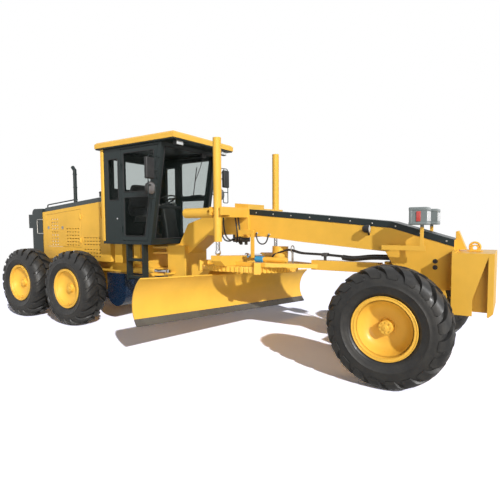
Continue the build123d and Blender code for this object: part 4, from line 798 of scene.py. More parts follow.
# ---------------------------------------------------------------- wheels
@dataclass(frozen=True)
class Wheel:
    """One wheel: a lugged tyre that stands for the plain one, and the small parts of its rim.

    Attributes:
        end: Which pair of wheels it is of.
        side: Which side it is on.
        disc: How far the wheel disc sits out of the wheel's middle plane.
        cap: How far the hub cap's face sits out of it.
        lugs: Lugs to a side.
        reach: Half the angle that a lug covers at its root.
    """

    end: str
    side: str
    disc: float
    cap: float
    lugs: int = 20
    reach: float = 0.112

    def stood(self, shape: Shape) -> Shape:
        """A shape about the origin, outer face at +Y, carried to the wheel."""
        low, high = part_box(f"tyre_{self.end}_{self.side}")
        return shape.sided(dict(NAMED_SIDES)[self.side]).moved(
            *((np.array(low) + np.array(high)) / 2.0))

    def carcass(self) -> Shape:
        """The casing: bead, bulged sidewall with moulded rings and a round crown, turned."""
        half = np.array(((0.320, 0.150), (0.330, 0.163), (0.358, 0.1735), (0.374, 0.186),
                         (0.388, 0.195), (0.391, 0.1985), (0.396, 0.1985), (0.400, 0.2005),
                         (0.430, 0.2115), (0.462, 0.2180), (0.465, 0.2208), (0.471, 0.2212),
                         (0.475, 0.2188), (0.505, 0.2185), (0.540, 0.2150), (0.570, 0.2060),
                         (0.595, 0.1920), (0.612, 0.1740), (0.622, 0.1500), (0.630, 0.1100),
                         (0.634, 0.0500)))
        return lathe(np.vstack((half * (1.0, -1.0), half[::-1])), 120, closed=True)

    def lug(self) -> Shape:
        """One lug: a four-cornered section carried from near the crown's middle over the shoulder.

        Each station has an outer place and a root place in radius and width, and an angle about
        the axle that grows with the square of the width, so the lug sweeps back.

        Returns:
            The closed lug on the +Y side.
        """
        top = np.array(((0.668, 0.010), (0.675, 0.05), (0.6715, 0.10), (0.661, 0.150),
                        (0.644, 0.184), (0.618, 0.207), (0.585, 0.2185), (0.556, 0.2205)))
        root = np.array(((0.629, 0.008), (0.629, 0.05), (0.625, 0.10), (0.616, 0.145),
                         (0.604, 0.170), (0.586, 0.187), (0.564, 0.197), (0.548, 0.203)))
        out = top[:, 1] / 0.2
        sweep = 0.10 * out + 0.13 * out ** 2 - 0.10
        wide = self.reach * np.array((0.82, 0.90, 0.96, 1.0, 1.02, 1.02, 0.98, 0.86))
        angle = sweep[:, None] + wide[:, None] * np.array((-1.0, -0.86, 0.86, 1.0))
        radius, width = (np.stack((root[:, i], top[:, i], top[:, i], root[:, i]), 1)
                         for i in (0, 1))
        body = np.stack((radius * np.sin(angle), width, radius * np.cos(angle)), -1)
        start, end = (np.repeat(row.mean(1, keepdims=True), 4, 1) for row in (body[:1], body[-1:]))
        return grid(np.concatenate((start, body, end)), close_v=True)

    def tyre(self) -> Shape:
        """The casing with a ring of lugs on each side, half a step apart."""
        step = 180.0 / self.lugs
        lug = self.lug()
        return self.carcass() + lug.spun(self.lugs) + lug.sided(RIGHT).spun(self.lugs, step)

    def trim(self) -> Shape:
        """The rim's rolled edge and lock ring."""
        return torus(0.3495, 0.0062, 96, 8, 0.1915) + torus(0.321, 0.0050, 96, 8, 0.1890)

    def dish(self) -> Shape:
        """The bowl in front of the disc: y rises from hub to lip as the fourth power of r."""
        share = np.linspace(0.0, 1.0, 15)
        floor = self.disc + 0.011
        front = np.stack((0.0845 + 0.2155 * share, floor + (0.161 - floor) * share ** 4), 1)
        boss = np.array(((0.0845, floor + 0.006), (0.098, floor + 0.005), (0.101, floor)))
        front = np.vstack((boss, front[front[:, 0] > 0.104]))
        back = front[::-1] - (0.0, 0.007)
        back[:, 1] = np.maximum(back[:, 1], self.disc + 0.001)
        return lathe(np.vstack((back, front)), 96, closed=True)

    def fixings(self) -> Shape:
        """Hub cap screws, centre boss, grease cap and the valve stem."""
        screw = bolt(0.0055, 0.006).moved(z=0.056, y=self.cap).spun(8)
        boss = lathe(((0.034, 0.0), (0.034, 0.007), (0.028, 0.010), (0.010, 0.010), (0.008, 0.014),
                      (0.0, 0.015)), 32).moved(y=self.cap)
        stem = tube(((0.0, self.disc + 0.04, -0.262), (0.0, self.disc + 0.085, -0.268)), 0.006)
        return boss + screw + stem

    def dress(self) -> None:
        """Put the tyre in place of the plain one, and the dish and trim on the rim."""
        place = f"{self.end}_{self.side}"
        body = f"wheel_{place}"
        tyre = dress(f"tread_{place}", self.stood(self.tyre()), TYRE, body, 32.0)
        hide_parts(f"tyre_{place}")
        dress(f"rim_trim_{place}", self.stood(self.trim() + self.dish()), YELLOW, body)
        dress(f"wheel_fixings_{place}", self.stood(self.fixings()), YELLOW, body, 30.0)


# ---------------------------------------------------------------- cab
@dataclass(frozen=True)
class Cab:
    """Trim of the cab: seals, corner posts, lamps, mirrors, wiper and handles.

    Attributes:
        half: Half the cab's width.
        rear: Its rear face.
        floor: Underside of its floor.
        top: Underside of the roof.
        foot: The windscreen's foot at the floor's underside.
        head: The windscreen's head under the roof.
        hinge: The doors' rear edge.
        post: How far the doors' front edge stays behind the windscreen.
        frame: Width of a door's frame.
        mirror: The mirror brackets' upright along X.
    """

    half: float = 0.75
    rear: float = -1.695
    floor: float = 1.47
    top: float = 3.18
    foot: float = -0.495
    head: float = -0.195
    hinge: float = -1.195
    post: float = 0.080
    frame: float = 0.075
    mirror: float = -0.195

    def screen(self, z: float, inward: float = 0.0) -> float:
        """X of the leaning windscreen at a height, moved inward."""
        share = (z - self.floor) / (self.top - self.floor)
        return self.foot + (self.head - self.foot) * share - inward

    def seal(self, corners: list[Triple], radius: float = 0.009) -> Shape:
        """A rubber seal round a pane: a tube on a closed path with rounded corners.

        Args:
            corners: The pane's corners in order.
            radius: The seal's radius.

        Returns:
            The seal.
        """
        middle = tuple((np.array(corners[-1]) + np.array(corners[0])) / 2.0)
        thin = int(np.argmin(np.ptp(np.array(corners), axis=0)))
        return tube(bent([middle, *corners, middle], 0.05), radius, 8, tuple(np.eye(3)[thin]))

    def dress_doors(self) -> None:
        """Seals, handles and grab bars on both doors."""
        rear, gap = self.hinge + self.frame, self.post + self.frame
        front = self.screen(2.33, self.post + 0.1)
        grip = soft_box((front - 0.13, -0.008, 2.315), (front + 0.01, 0.008, 2.345), 0.006)
        foot = soft_box((front - 0.03, -0.02, 2.305), (front + 0.02, 0.006, 2.355), 0.005)
        for name, side in NAMED_SIDES:
            body = f"cab_door_{name}"
            y = side * (self.half + 0.001)
            seals = joined(self.seal([(rear, y, low), (self.screen(low, gap), y, low),
                                      (self.screen(high, gap), y, high), (rear, y, high)])
                           for low, high in ((1.615, 2.285), (2.375, 3.045)))
            dress(f"door_seals_{name}", seals, SEAL, body)
            out = side * (self.half + 0.022)
            dress(f"door_handle_{name}", grip.moved(y=out) + foot.moved(y=out - 0.012 * side),
                  SEAL, body)
            near, far = side * (self.half - 0.051), side * 0.665
            pull = bent([(front - 0.3, near, 2.36), (front - 0.3, far, 2.38),
                         (front - 0.02, far, 2.38), (front - 0.02, near, 2.36)], 0.03)
            dress(f"door_pull_{name}", tube(pull, 0.010, 8, (0.0, 0.3, 1.0)), CHARCOAL, body)

    def dress_shell(self) -> None:
        """Seals of the fixed panes, yellow corner posts, locks and wiper."""
        behind = self.rear - 0.001
        seals = self.seal([(behind, y, z) for y, z in oblong((-0.52, 0.52), (2.48, 3.02))])
        for side in BOTH:
            y = side * (self.half + 0.001)
            seals += self.seal([(x, y, z) for x, z in oblong((-1.525, -1.265), (2.25, 2.97))])
        front = [(self.screen(z, -0.004), y, z) for y, z in oblong((-0.67, 0.67), (1.57, 3.09))]
        dress("window_seals", seals + self.seal(front, 0.010), SEAL)

        post = soft_box((self.rear - 0.022, -0.030, self.floor + 0.05),
                        (self.rear + 0.052, 0.030, self.top), 0.010)
        dress("cab_corner_posts", post.paired(self.half - 0.012), YELLOW)

        barrel = lathe(((0.0, 0.0), (0.016, 0.0), (0.016, 0.010), (0.010, 0.013), (0.0, 0.013)), 20)
        dress("cab_panel_locks", joined(barrel.sided(side).moved(-1.30, side * self.half, 1.92)
                                        for side in BOTH), CHROME)

        pivot = np.array((self.screen(3.06, -0.035), 0.30, 3.06))
        tip = np.array((self.screen(2.58, -0.022), 0.16, 2.58))
        arm = tube((pivot, pivot + 0.5 * (tip - pivot) + (0.012, 0.0, 0.0), tip), 0.007)
        start, end = (np.array((self.screen(z, -0.014), 0.17, z)) for z in (2.34, 2.84))
        blade = tube((start, (start + end) / 2.0, end), 0.009, 6, (0.0, 1.0, 0.0))
        motor = soft_box((-0.035, -0.06, -0.04), (0.02, 0.06, 0.04), 0.012).moved(*pivot)
        dress("wiper", arm + blade + motor, SEAL)

    def dress_roof(self) -> None:
        """Work lamps under the roof's front edge and the roof's gutter bead."""
        shell = (soft_box((-0.02, -0.085, 3.085), (0.055, 0.085, 3.165), 0.012)
                 + soft_box((0.005, -0.012, 3.15), (0.03, 0.012, 3.182), 0.004))
        lens = soft_box((0.050, -0.074, 3.094), (0.062, 0.074, 3.156), 0.005)
        dress("roof_lamp_shells", shell.paired(0.60), SEAL)
        dress("roof_lamp_lenses", lens.paired(0.60), CLEAR_LENS)
        low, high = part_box("cab_roof")
        gutter = soft_box((low[0] + 0.01, low[1] + 0.01, low[2] - 0.022),
                          (high[0] - 0.01, high[1] - 0.01, low[2] + 0.01), 0.008)
        dress("roof_gutter", gutter, CHARCOAL)

    def bracket(self, side: float) -> Shape:
        """One side's mirror bracket: a bent rail, a straight tube under it and a brace."""
        near, far, x = side * (self.half - 0.01), side * 1.068, self.mirror
        rail = [(self.screen(2.90, 0.02), near, 2.90), (x, side * 1.055, 2.90), (x, far, 2.84),
                (x, far, 2.23), (x, side * 0.915, 2.23), (x, side * 0.915, 2.438)]
        return (tube(bent(rail, 0.035), 0.0085, 8, (1.0, 0.0, 0.0))
                + tube(((self.screen(2.44, 0.02), near, 2.44), (x, far, 2.44)), 0.0085)
                + tube(((self.screen(2.53, 0.02), near, 2.53), (x - 0.002, side * 0.96, 2.898)),
                       0.007))

    def dress_mirrors(self) -> None:
        """Mirrors on their tube brackets and turn lamps, on both sides."""
        housing = soft_box((-0.243, -0.088, 2.530), (-0.180, 0.088, 2.870), 0.022, 4)
        face = soft_box((-0.247, -0.074, 2.548), (-0.240, 0.074, 2.852), 0.003)
        dress("mirror_housings", housing.paired(1.02), SEAL)
        dress("mirror_glasses", face.paired(1.02), CHROME)
        dress("mirror_brackets", joined(self.bracket(side) for side in BOTH), CHARCOAL)

        dish = lathe(((0.0, 0.0), (0.062, 0.0), (0.092, 0.014), (0.102, 0.055), (0.105, 0.068),
                      (0.098, 0.072)), 36).facing(1.0, 0.0, 0.0)
        dome = lathe(((0.099, 0.068), (0.082, 0.082), (0.045, 0.090), (0.0, 0.092)), 36)
        places = [(-0.33, side * 0.94, 2.395) for side in BOTH]
        stays = (tube(((-0.35, side * 0.74, 2.395), (-0.31, side * 0.94, 2.395)), 0.012)
                 for side in BOTH)
        dress("turn_lamp_shells", joined((dish.repeated(places), *stays)), SEAL)
        dress("turn_lamp_lenses", dome.facing(1.0, 0.0, 0.0).repeated(places), SMOKE_LENS)


@dataclass(frozen=True)
class Cockpit:
    """Seat, console, wheel and levers, which stand for the plain solids in the cab.

    Attributes:
        seat: Middle of the seat along X.
        floor: Top of the cab's floor.
        console: Rear foot of the console along X.
        rise: Height of the console.
    """

    seat: float = -1.275
    floor: float = 1.51
    console: float = -0.825
    rise: float = 0.68

    def pad(self, width: float, depth: float, thick: float = 0.09, crown: float = 0.035,
            dip: float = 0.008) -> Shape:
        """A stuffed pad lying in X and Y, its face up.

        A closed oval of a superellipse is drawn in towards the middle over rows from underside to
        face; the face rises by a crown that falls off with the square of the distance, less a
        seam groove, and the sides pull in between the corners.

        Args:
            width: Size along Y.
            depth: Size along X.
            thick: Height at the rim.
            crown: Rise of the middle over the rim.
            dip: Depth of the sewn channel.

        Returns:
            The closed pad about its own middle, underside at z = 0.
        """
        c, s = circle(72)
        waist = 1.0 - 0.018 * (c ** 2 - s ** 2) ** 2
        scale = np.array((0.0, 0.90, 0.955, 0.985, 1.0, 1.0, 0.985, 0.955, 0.90, 0.82, 0.72, 0.68,
                          0.64, 0.5, 0.34, 0.18, 0.0))
        rise = np.array((0.0, 0.0, 0.04, 0.14, 0.30, 0.66, 0.84, 0.94, 1.0, 1.02, *[1.03] * 7))
        upper = np.clip((rise - 0.9) / 0.1, 0.0, 1.0)
        groove = np.where(np.abs(scale - 0.68) < 0.005, dip, 0.0)
        x, y = (0.5 * size * scale[:, None] * np.sign(wave) * np.abs(wave) ** 0.4 * waist
                for size, wave in ((depth, c), (width, s)))
        z = thick * rise + crown * (1.0 - scale ** 2) * upper - groove
        return grid(np.stack((x, y, np.broadcast_to(z[:, None], x.shape)), -1), close_v=True)

    def dress_seat(self) -> None:
        """Pedestal, cushion, back and arm rests."""
        seat, floor = self.seat, self.floor
        base = soft_box((seat - 0.15, -0.16, floor), (seat + 0.20, 0.16, floor + 0.12), 0.02)
        rings = np.linspace(0.0, 1.0, 25)
        folds = np.stack((0.135 + 0.012 * np.abs(np.sin(rings * 3.0 * TURN)),
                          floor + 0.12 + 0.21 * rings), 1)
        bellows = lathe(np.vstack(((0.0, folds[0, 1]), folds, (0.0, folds[-1, 1]))), 48)
        upright = ((1, 0, 0), (0, 0, -1), (0, 1, 0))
        stand = dress("seat_pedestal", base + bellows.turned(upright).moved(seat + 0.02), SEAL)
        dress("seat_pan", soft_box((seat - 0.21, -0.235, floor + 0.325),
                                   (seat + 0.26, 0.235, floor + 0.365), 0.015), CHARCOAL)
        cushion = dress("seat_cushion", self.pad(0.50, 0.50).moved(seat + 0.03, 0.0, floor + 0.36),
                        SEAT_CLOTH, smooth=60.0)
        lean = np.array(Matrix.Rotation(math.radians(-82.0), 3, "Y"))
        back = self.pad(0.48, 0.62).turned(lean @ np.diag((-1.0, 1.0, 1.0)))
        flipped = Shape(back.points, back.faces[:, ::-1])
        rest = dress("seat_back", flipped.moved(seat - 0.235, 0.0, floor + 0.76), SEAT_CLOTH,
                     smooth=60.0)
        arms = joined(soft_box((seat - 0.17, side * 0.275 - 0.028, floor + 0.60),
                               (seat + 0.14, side * 0.275 + 0.028, floor + 0.645), 0.018)
                      + tube(((seat - 0.15, side * 0.275, floor + 0.61),
                              (seat - 0.17, side * 0.245, floor + 0.50)), 0.014)
                      for side in BOTH)
        dress("arm_rests", arms, SEAL)
        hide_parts("cab_interior")

    def dress_console(self) -> None:
        """Steering console, open at its head under the wheel, and the two rows of levers."""
        back, head = self.console, self.floor + self.rise
        height, deep, wide, shift = np.array((
            (0.0, 0.170, 0.170, 0.0), (0.04, 0.175, 0.170, 0.0), (0.30, 0.140, 0.150, -0.025),
            (0.60, 0.115, 0.165, -0.050), (self.rise, 0.100, 0.160, -0.055))).T[:, :, None]
        soft = [np.sign(wave) * np.abs(wave) ** 0.35 for wave in circle(32)]
        x = back + shift + deep * 0.5 * (soft[0] + 1.0)
        body = np.stack((x, wide * soft[1], np.broadcast_to(self.floor + height, x.shape)), -1)
        foot = np.repeat(body[:1].mean(1, keepdims=True), 32, 1)
        dress("console", grid(np.concatenate((foot, body)), close_v=True), SEAL)

        rim = torus(0.185, 0.0135, 56, 10)
        spokes = soft_box((-0.018, -0.008, 0.03), (0.018, 0.004, 0.18), 0.004).spun(3)
        boss = lathe(((0.0, -0.03), (0.045, -0.03), (0.050, 0.0), (0.036, 0.014), (0.0, 0.018)), 28)
        stalk = lathe(((0.0, -0.13), (0.028, -0.13), (0.028, -0.02), (0.0, -0.02)), 20)
        wheel = (rim + spokes + boss + stalk).facing(-0.45, 0.0, 1.0)
        dress("steering_wheel", wheel.moved(back - 0.03, 0.0, head + 0.075), SEAL)

        tops = [(back - 0.11, side * (0.185 + 0.028 * number), head + 0.11)
                for side in BOTH for number in range(4)]
        levers = joined(tube(bent([(back + 0.02, top[1] * 0.9, head - 0.06),
                                   (back - 0.03, top[1], head + 0.01), top], 0.03),
                             0.006, 6, (0.0, 1.0, 0.0)) for top in tops)
        knob = lathe(((0.0, -0.02), (0.012, -0.018), (0.017, 0.0), (0.012, 0.017), (0.0, 0.02)), 16)
        dress("control_levers", levers, ZINC)
        dress("lever_knobs", knob.facing(0.0, 0.0, 1.0).repeated(tops), SEAL)
        dress("lever_box", soft_box((back - 0.03, -0.29, head - 0.09),
                                    (back + 0.07, 0.29, head - 0.03), 0.02), SEAL)


# ---------------------------------------------------------------- rear bodywork
@dataclass(frozen=True)
class Bonnet:
    """Small parts of the engine's bodywork.

    Attributes:
        rear: Rear edge of the side panels.
        front: Their front edge.
        edge_rear: Height of their top edge at the rear.
        edge_front: Its height at the front.
        half: Half the bodywork's width.
    """

    rear: float = -3.945
    front: float = -1.765
    edge_rear: float = 2.090
    edge_front: float = 2.275
    half: float = 0.55

    def edge(self, x: float) -> float:
        """Height of the sloping top edge."""
        share = (x - self.rear) / (self.front - self.rear)
        return self.edge_rear + (self.edge_front - self.edge_rear) * share

    def rail(self, side: float) -> Shape:
        """A grab rail on the top cover."""
        y, rear, front = side * 0.46, -3.88, -2.90
        path = bent([(rear, y, self.edge(rear) + 0.075), (rear - 0.02, y, self.edge(rear) + 0.155),
                     (front + 0.02, y, self.edge(front) + 0.155),
                     (front, y, self.edge(front) + 0.075)], 0.05)
        return tube(path, 0.013, 10, (0.0, 1.0, 0.0))

    def grip(self, side: float) -> Shape:
        """A pale handle beside the radiator."""
        near, out, low, high = side * (self.half - 0.002), side * (self.half + 0.018), 1.635, 1.935
        path = bent([(-3.935, near, high), (-3.96, out, high), (-4.125, out, high),
                     (-4.125, out, low), (-3.96, out, low), (-3.935, near, low)], 0.03)
        return tube(path, 0.012, 10, (0.0, 1.0, 0.0))

    def dress_rails(self) -> None:
        """Rails and handles on both sides."""
        dress("cover_rails", joined(self.rail(side) for side in BOTH), CHARCOAL)
        dress("radiator_handles", joined(self.grip(side) for side in BOTH), ZINC)

    def dress_latches(self) -> None:
        """Door latches and the stays in front of the doors."""
        latch = lathe(((0.0, 0.0), (0.034, 0.0), (0.034, 0.004), (0.026, 0.006), (0.022, 0.002),
                       (0.0, 0.002)), 28)
        latch += soft_box((-0.018, 0.001, -0.004), (0.018, 0.009, 0.004), 0.003)
        for name, side in NAMED_SIDES:
            y = side * self.half
            pair = latch.sided(side).repeated(((-3.735, y, 1.76), (-3.245, y, 1.76)))
            dress(f"door_latches_{name}", pair, ZINC, f"hood_door_{name}", 30.0)
        stay = (soft_box((-2.03, -0.010, 1.96), (-2.005, 0.010, 2.15), 0.006)
                + soft_box((-2.045, -0.012, 1.93), (-1.985, 0.012, 1.965), 0.008))
        dress("panel_stays", stay.paired(self.half + 0.010), YELLOW)

    def dress_stack(self) -> None:
        """Heat shield bands of the exhaust and the cap of the pre-cleaner."""
        band = lathe(((0.0375, -0.012), (0.044, -0.012), (0.044, 0.012), (0.0375, 0.012)), 28)
        places = [(-3.355, -0.15, z) for z in (2.36, 2.62, 2.90)]
        dress("stack_bands", band.facing(0.0, 0.0, 1.0).repeated(places), CHARCOAL)
        dome = lathe(((0.120, 0.0), (0.126, 0.006), (0.126, 0.020), (0.112, 0.036), (0.05, 0.046),
                      (0.0, 0.048)), 40).facing(0.0, 0.0, 1.0)
        cleaner = -2.565
        dress("cleaner_cap", dome.moved(cleaner, 0.0, self.edge(cleaner) + 0.26), SEAL)


# ---------------------------------------------------------------- boom, lamps and nose
@dataclass(frozen=True)
class Boom:
    """Lines, lamps and fastenings along the front frame.

    Attributes:
        half: Half the boom's width.
        axle: The front axle along X.
        body: The body they ride on.
    """

    half: float = 0.20
    axle: float = 3.485
    body: str = "front_frame"

    def hood(self, side: float) -> Shape:
        """One headlamp's body with hooded edges."""
        x = self.axle + 0.19
        low, high = sorted((side * 0.27, side * 0.51))
        wall = sorted((side * 0.272, side * 0.284))
        return (soft_box((x - 0.108, low - 0.004, 1.950), (x + 0.104, high + 0.004, 1.996), 0.014)
                + soft_box((x - 0.108, low - 0.004, 1.784), (x + 0.104, high + 0.004, 1.822), 0.012)
                + soft_box((x - 0.104, low - 0.003, 1.80), (x - 0.062, high + 0.003, 1.98), 0.012)
                + soft_box((x - 0.08, wall[0], 1.80), (x + 0.098, wall[1], 1.97), 0.004))

    def dress_headlamps(self) -> None:
        """Headlamps with clear faces and coloured side lenses, and the boom's work lamps."""
        x = self.axle + 0.19
        face = soft_box((x + 0.094, -0.108, 1.826), (x + 0.106, 0.108, 1.946), 0.005, 4)
        lens = soft_box((x - 0.020, -0.006, 1.826), (x + 0.030, 0.006, 1.946), 0.005)
        dress("headlamp_hoods", joined(self.hood(side) for side in BOTH), GREY_PLASTIC, self.body)
        dress("headlamp_faces", face.paired(0.39), CLEAR_LENS, self.body)
        dress("headlamp_side_lenses", lens.paired(0.512), RED_LENS, self.body)
        shell = lathe(((0.0, -0.075), (0.030, -0.07), (0.050, -0.04), (0.056, 0.0), (0.056, 0.02),
                       (0.050, 0.024)), 28).facing(1.0, 0.0, 0.0)
        glass = lathe(((0.051, 0.022), (0.030, 0.029), (0.0, 0.032)), 28).facing(1.0, 0.0, 0.0)
        places = [(self.axle - 0.47, side * (self.half + 0.075), 1.735) for side in BOTH]
        stays = (tube((place, (place[0] - 0.01, math.copysign(self.half - 0.005, place[1]), 1.66)),
                      0.016, 8, (1.0, 0.0, 0.0)) for place in places)
        dress("boom_lamp_shells", joined((shell.repeated(places), *stays)), SEAL, self.body)
        dress("boom_lamp_lenses", glass.repeated(places), CLEAR_LENS, self.body)

    def dress_nose(self) -> None:
        """Flange bolts, plugs of the leg and the lifting ring on the nose."""
        places = [(4.035, y, z) for y in (-0.375, 0.375)
                  for z in (0.80, 0.93, 1.06, 1.19, 1.32, 1.43)]
        pins = bolt(0.014, 0.016).facing(-1.0, 0.0, 0.0).repeated(places)
        dress("flange_bolts", pins, YELLOW, self.body, 30.0)
        plug = bolt(0.019, 0.014)
        plugs = joined(plug.sided(side).repeated([(3.828, side * self.half, z)
                                                  for z in (1.336, 1.260)]) for side in BOTH)
        dress("leg_plugs", plugs, SEAL, self.body, 30.0)
        ring = torus(0.056, 0.013, 40, 10).moved(z=0.050)
        ring += soft_box((-0.085, -0.03, -0.002), (0.085, 0.03, 0.010), 0.005)
        dress("lifting_ring", ring.moved(4.242, 0.0, 1.462), YELLOW, self.body)

    def dress_cover(self) -> None:
        """Pan-head screws along both sides of the line cover."""
        x = np.concatenate((np.linspace(0.60, 0.80, 2), np.linspace(1.25, 3.95, 10)))
        z = np.interp(x, (0.525, 1.995, 3.295, 4.035), (2.090, 1.955, 1.825, 1.600)) - 0.040
        screw = lathe(((0.011, 0.0), (0.011, 0.003), (0.007, 0.006), (0.0, 0.007)), 12)
        left = screw.repeated(np.stack((x, np.full(x.size, self.half + 0.006), z), 1))
        dress("cover_screws", left + left.sided(RIGHT), ZINC, self.body)

    def dress_saddle(self) -> None:
        """Manifold under the boom and the unions that the hanging hoses screw into."""
        spool = lathe(((0.0, 0.0), (0.026, 0.0), (0.026, 0.05), (0.018, 0.055), (0.0, 0.055)), 20)
        block = soft_box((0.735, -0.115, 1.515), (0.935, 0.115, 1.650), 0.012)
        block += spool.facing(0.0, 0.0, -1.0).repeated(((0.785, 0.06, 1.52), (0.885, 0.06, 1.52)))
        dress("hose_manifold", block, IRON, self.body)
        nut = lathe(((0.0, -0.012), (0.020, -0.012), (0.020, 0.022), (0.016, 0.026), (0.0, 0.026)),
                    6)
        places = [(0.617, -0.212, 2.015), (0.665, -0.212, 2.005), (0.920, -0.250, 1.985),
                  (0.962, -0.250, 1.985), (1.262, -0.200, 1.665), (1.482, -0.200, 1.645)]
        places += [(x, -0.118, 1.565) for x in (0.765, 0.800, 0.860, 0.900)]
        dress("hose_unions", nut.facing(0.0, -1.0, 0.0).repeated(places), ZINC, self.body, 30.0)

    def dress_hoses(self) -> None:
        """Hoses that hang beside the saddle and under the boom, each one smooth line."""
        table = (
            ("saddle_hose_1", 0.024, (
                (0.617, -0.226, 2.015), (0.617, -0.262, 2.010), (0.615, -0.285, 1.965),
                (0.620, -0.285, 1.800), (0.640, -0.285, 1.640), (0.690, -0.270, 1.545),
                (0.755, -0.215, 1.530), (0.765, -0.175, 1.562), (0.765, -0.138, 1.565))),
            ("saddle_hose_2", 0.024, (
                (0.665, -0.226, 2.005), (0.665, -0.255, 2.000), (0.665, -0.272, 1.955),
                (0.670, -0.272, 1.800), (0.690, -0.270, 1.660), (0.735, -0.255, 1.570),
                (0.795, -0.215, 1.545), (0.800, -0.175, 1.564), (0.800, -0.138, 1.565))),
            ("saddle_hose_3", 0.024, (
                (0.920, -0.264, 1.985), (0.920, -0.300, 1.980), (0.930, -0.322, 1.930),
                (0.955, -0.325, 1.800), (0.970, -0.320, 1.650), (0.950, -0.300, 1.545),
                (0.905, -0.250, 1.515), (0.870, -0.190, 1.550), (0.860, -0.138, 1.565))),
            ("saddle_hose_4", 0.024, (
                (0.962, -0.264, 1.985), (0.962, -0.296, 1.980), (0.975, -0.312, 1.930),
                (1.000, -0.315, 1.800), (1.015, -0.312, 1.640), (0.995, -0.295, 1.530),
                (0.950, -0.240, 1.500), (0.910, -0.180, 1.545), (0.900, -0.138, 1.565))),
            ("boom_loop_hose", 0.020, (
                (1.262, -0.214, 1.665), (1.264, -0.236, 1.655), (1.276, -0.240, 1.590),
                (1.310, -0.240, 1.520), (1.372, -0.240, 1.495), (1.436, -0.240, 1.515),
                (1.470, -0.240, 1.580), (1.481, -0.236, 1.640), (1.482, -0.214, 1.645))),
        )
        for name, diameter, points in table:
            hose = cord_of(name, points, diameter, HOSE, self.body)
            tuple(points[0])


def cord_of(name: str, points: Sequence[Triple], diameter: float, finish: Finish,
            body: str) -> bpy.types.Object:
    """A free hose: one open NURBS spline with the points as its control points.

    Args:
        name: The hose's name.
        points: Control points from its exit to its end.
        diameter: Its outer diameter.
        finish: Its rubber.
        body: The body it rides on.

    Returns:
        The curve piece.
    """
    curve = bpy.data.curves.new(name, "CURVE")
    curve.dimensions = "3D"
    spline = curve.splines.new("NURBS")
    spline.points.add(len(points) - 1)
    weights = np.ones((len(points), 1))
    spline.points.foreach_set("co", np.hstack((np.array(points), weights)).reshape(-1))
    spline.order_u = 3
    spline.use_endpoint_u = True
    spline.resolution_u = 12
    curve.bevel_depth = diameter / 2.0
    curve.bevel_resolution = 3
    curve.use_fill_caps = True
    return put(name, curve, finish, body)


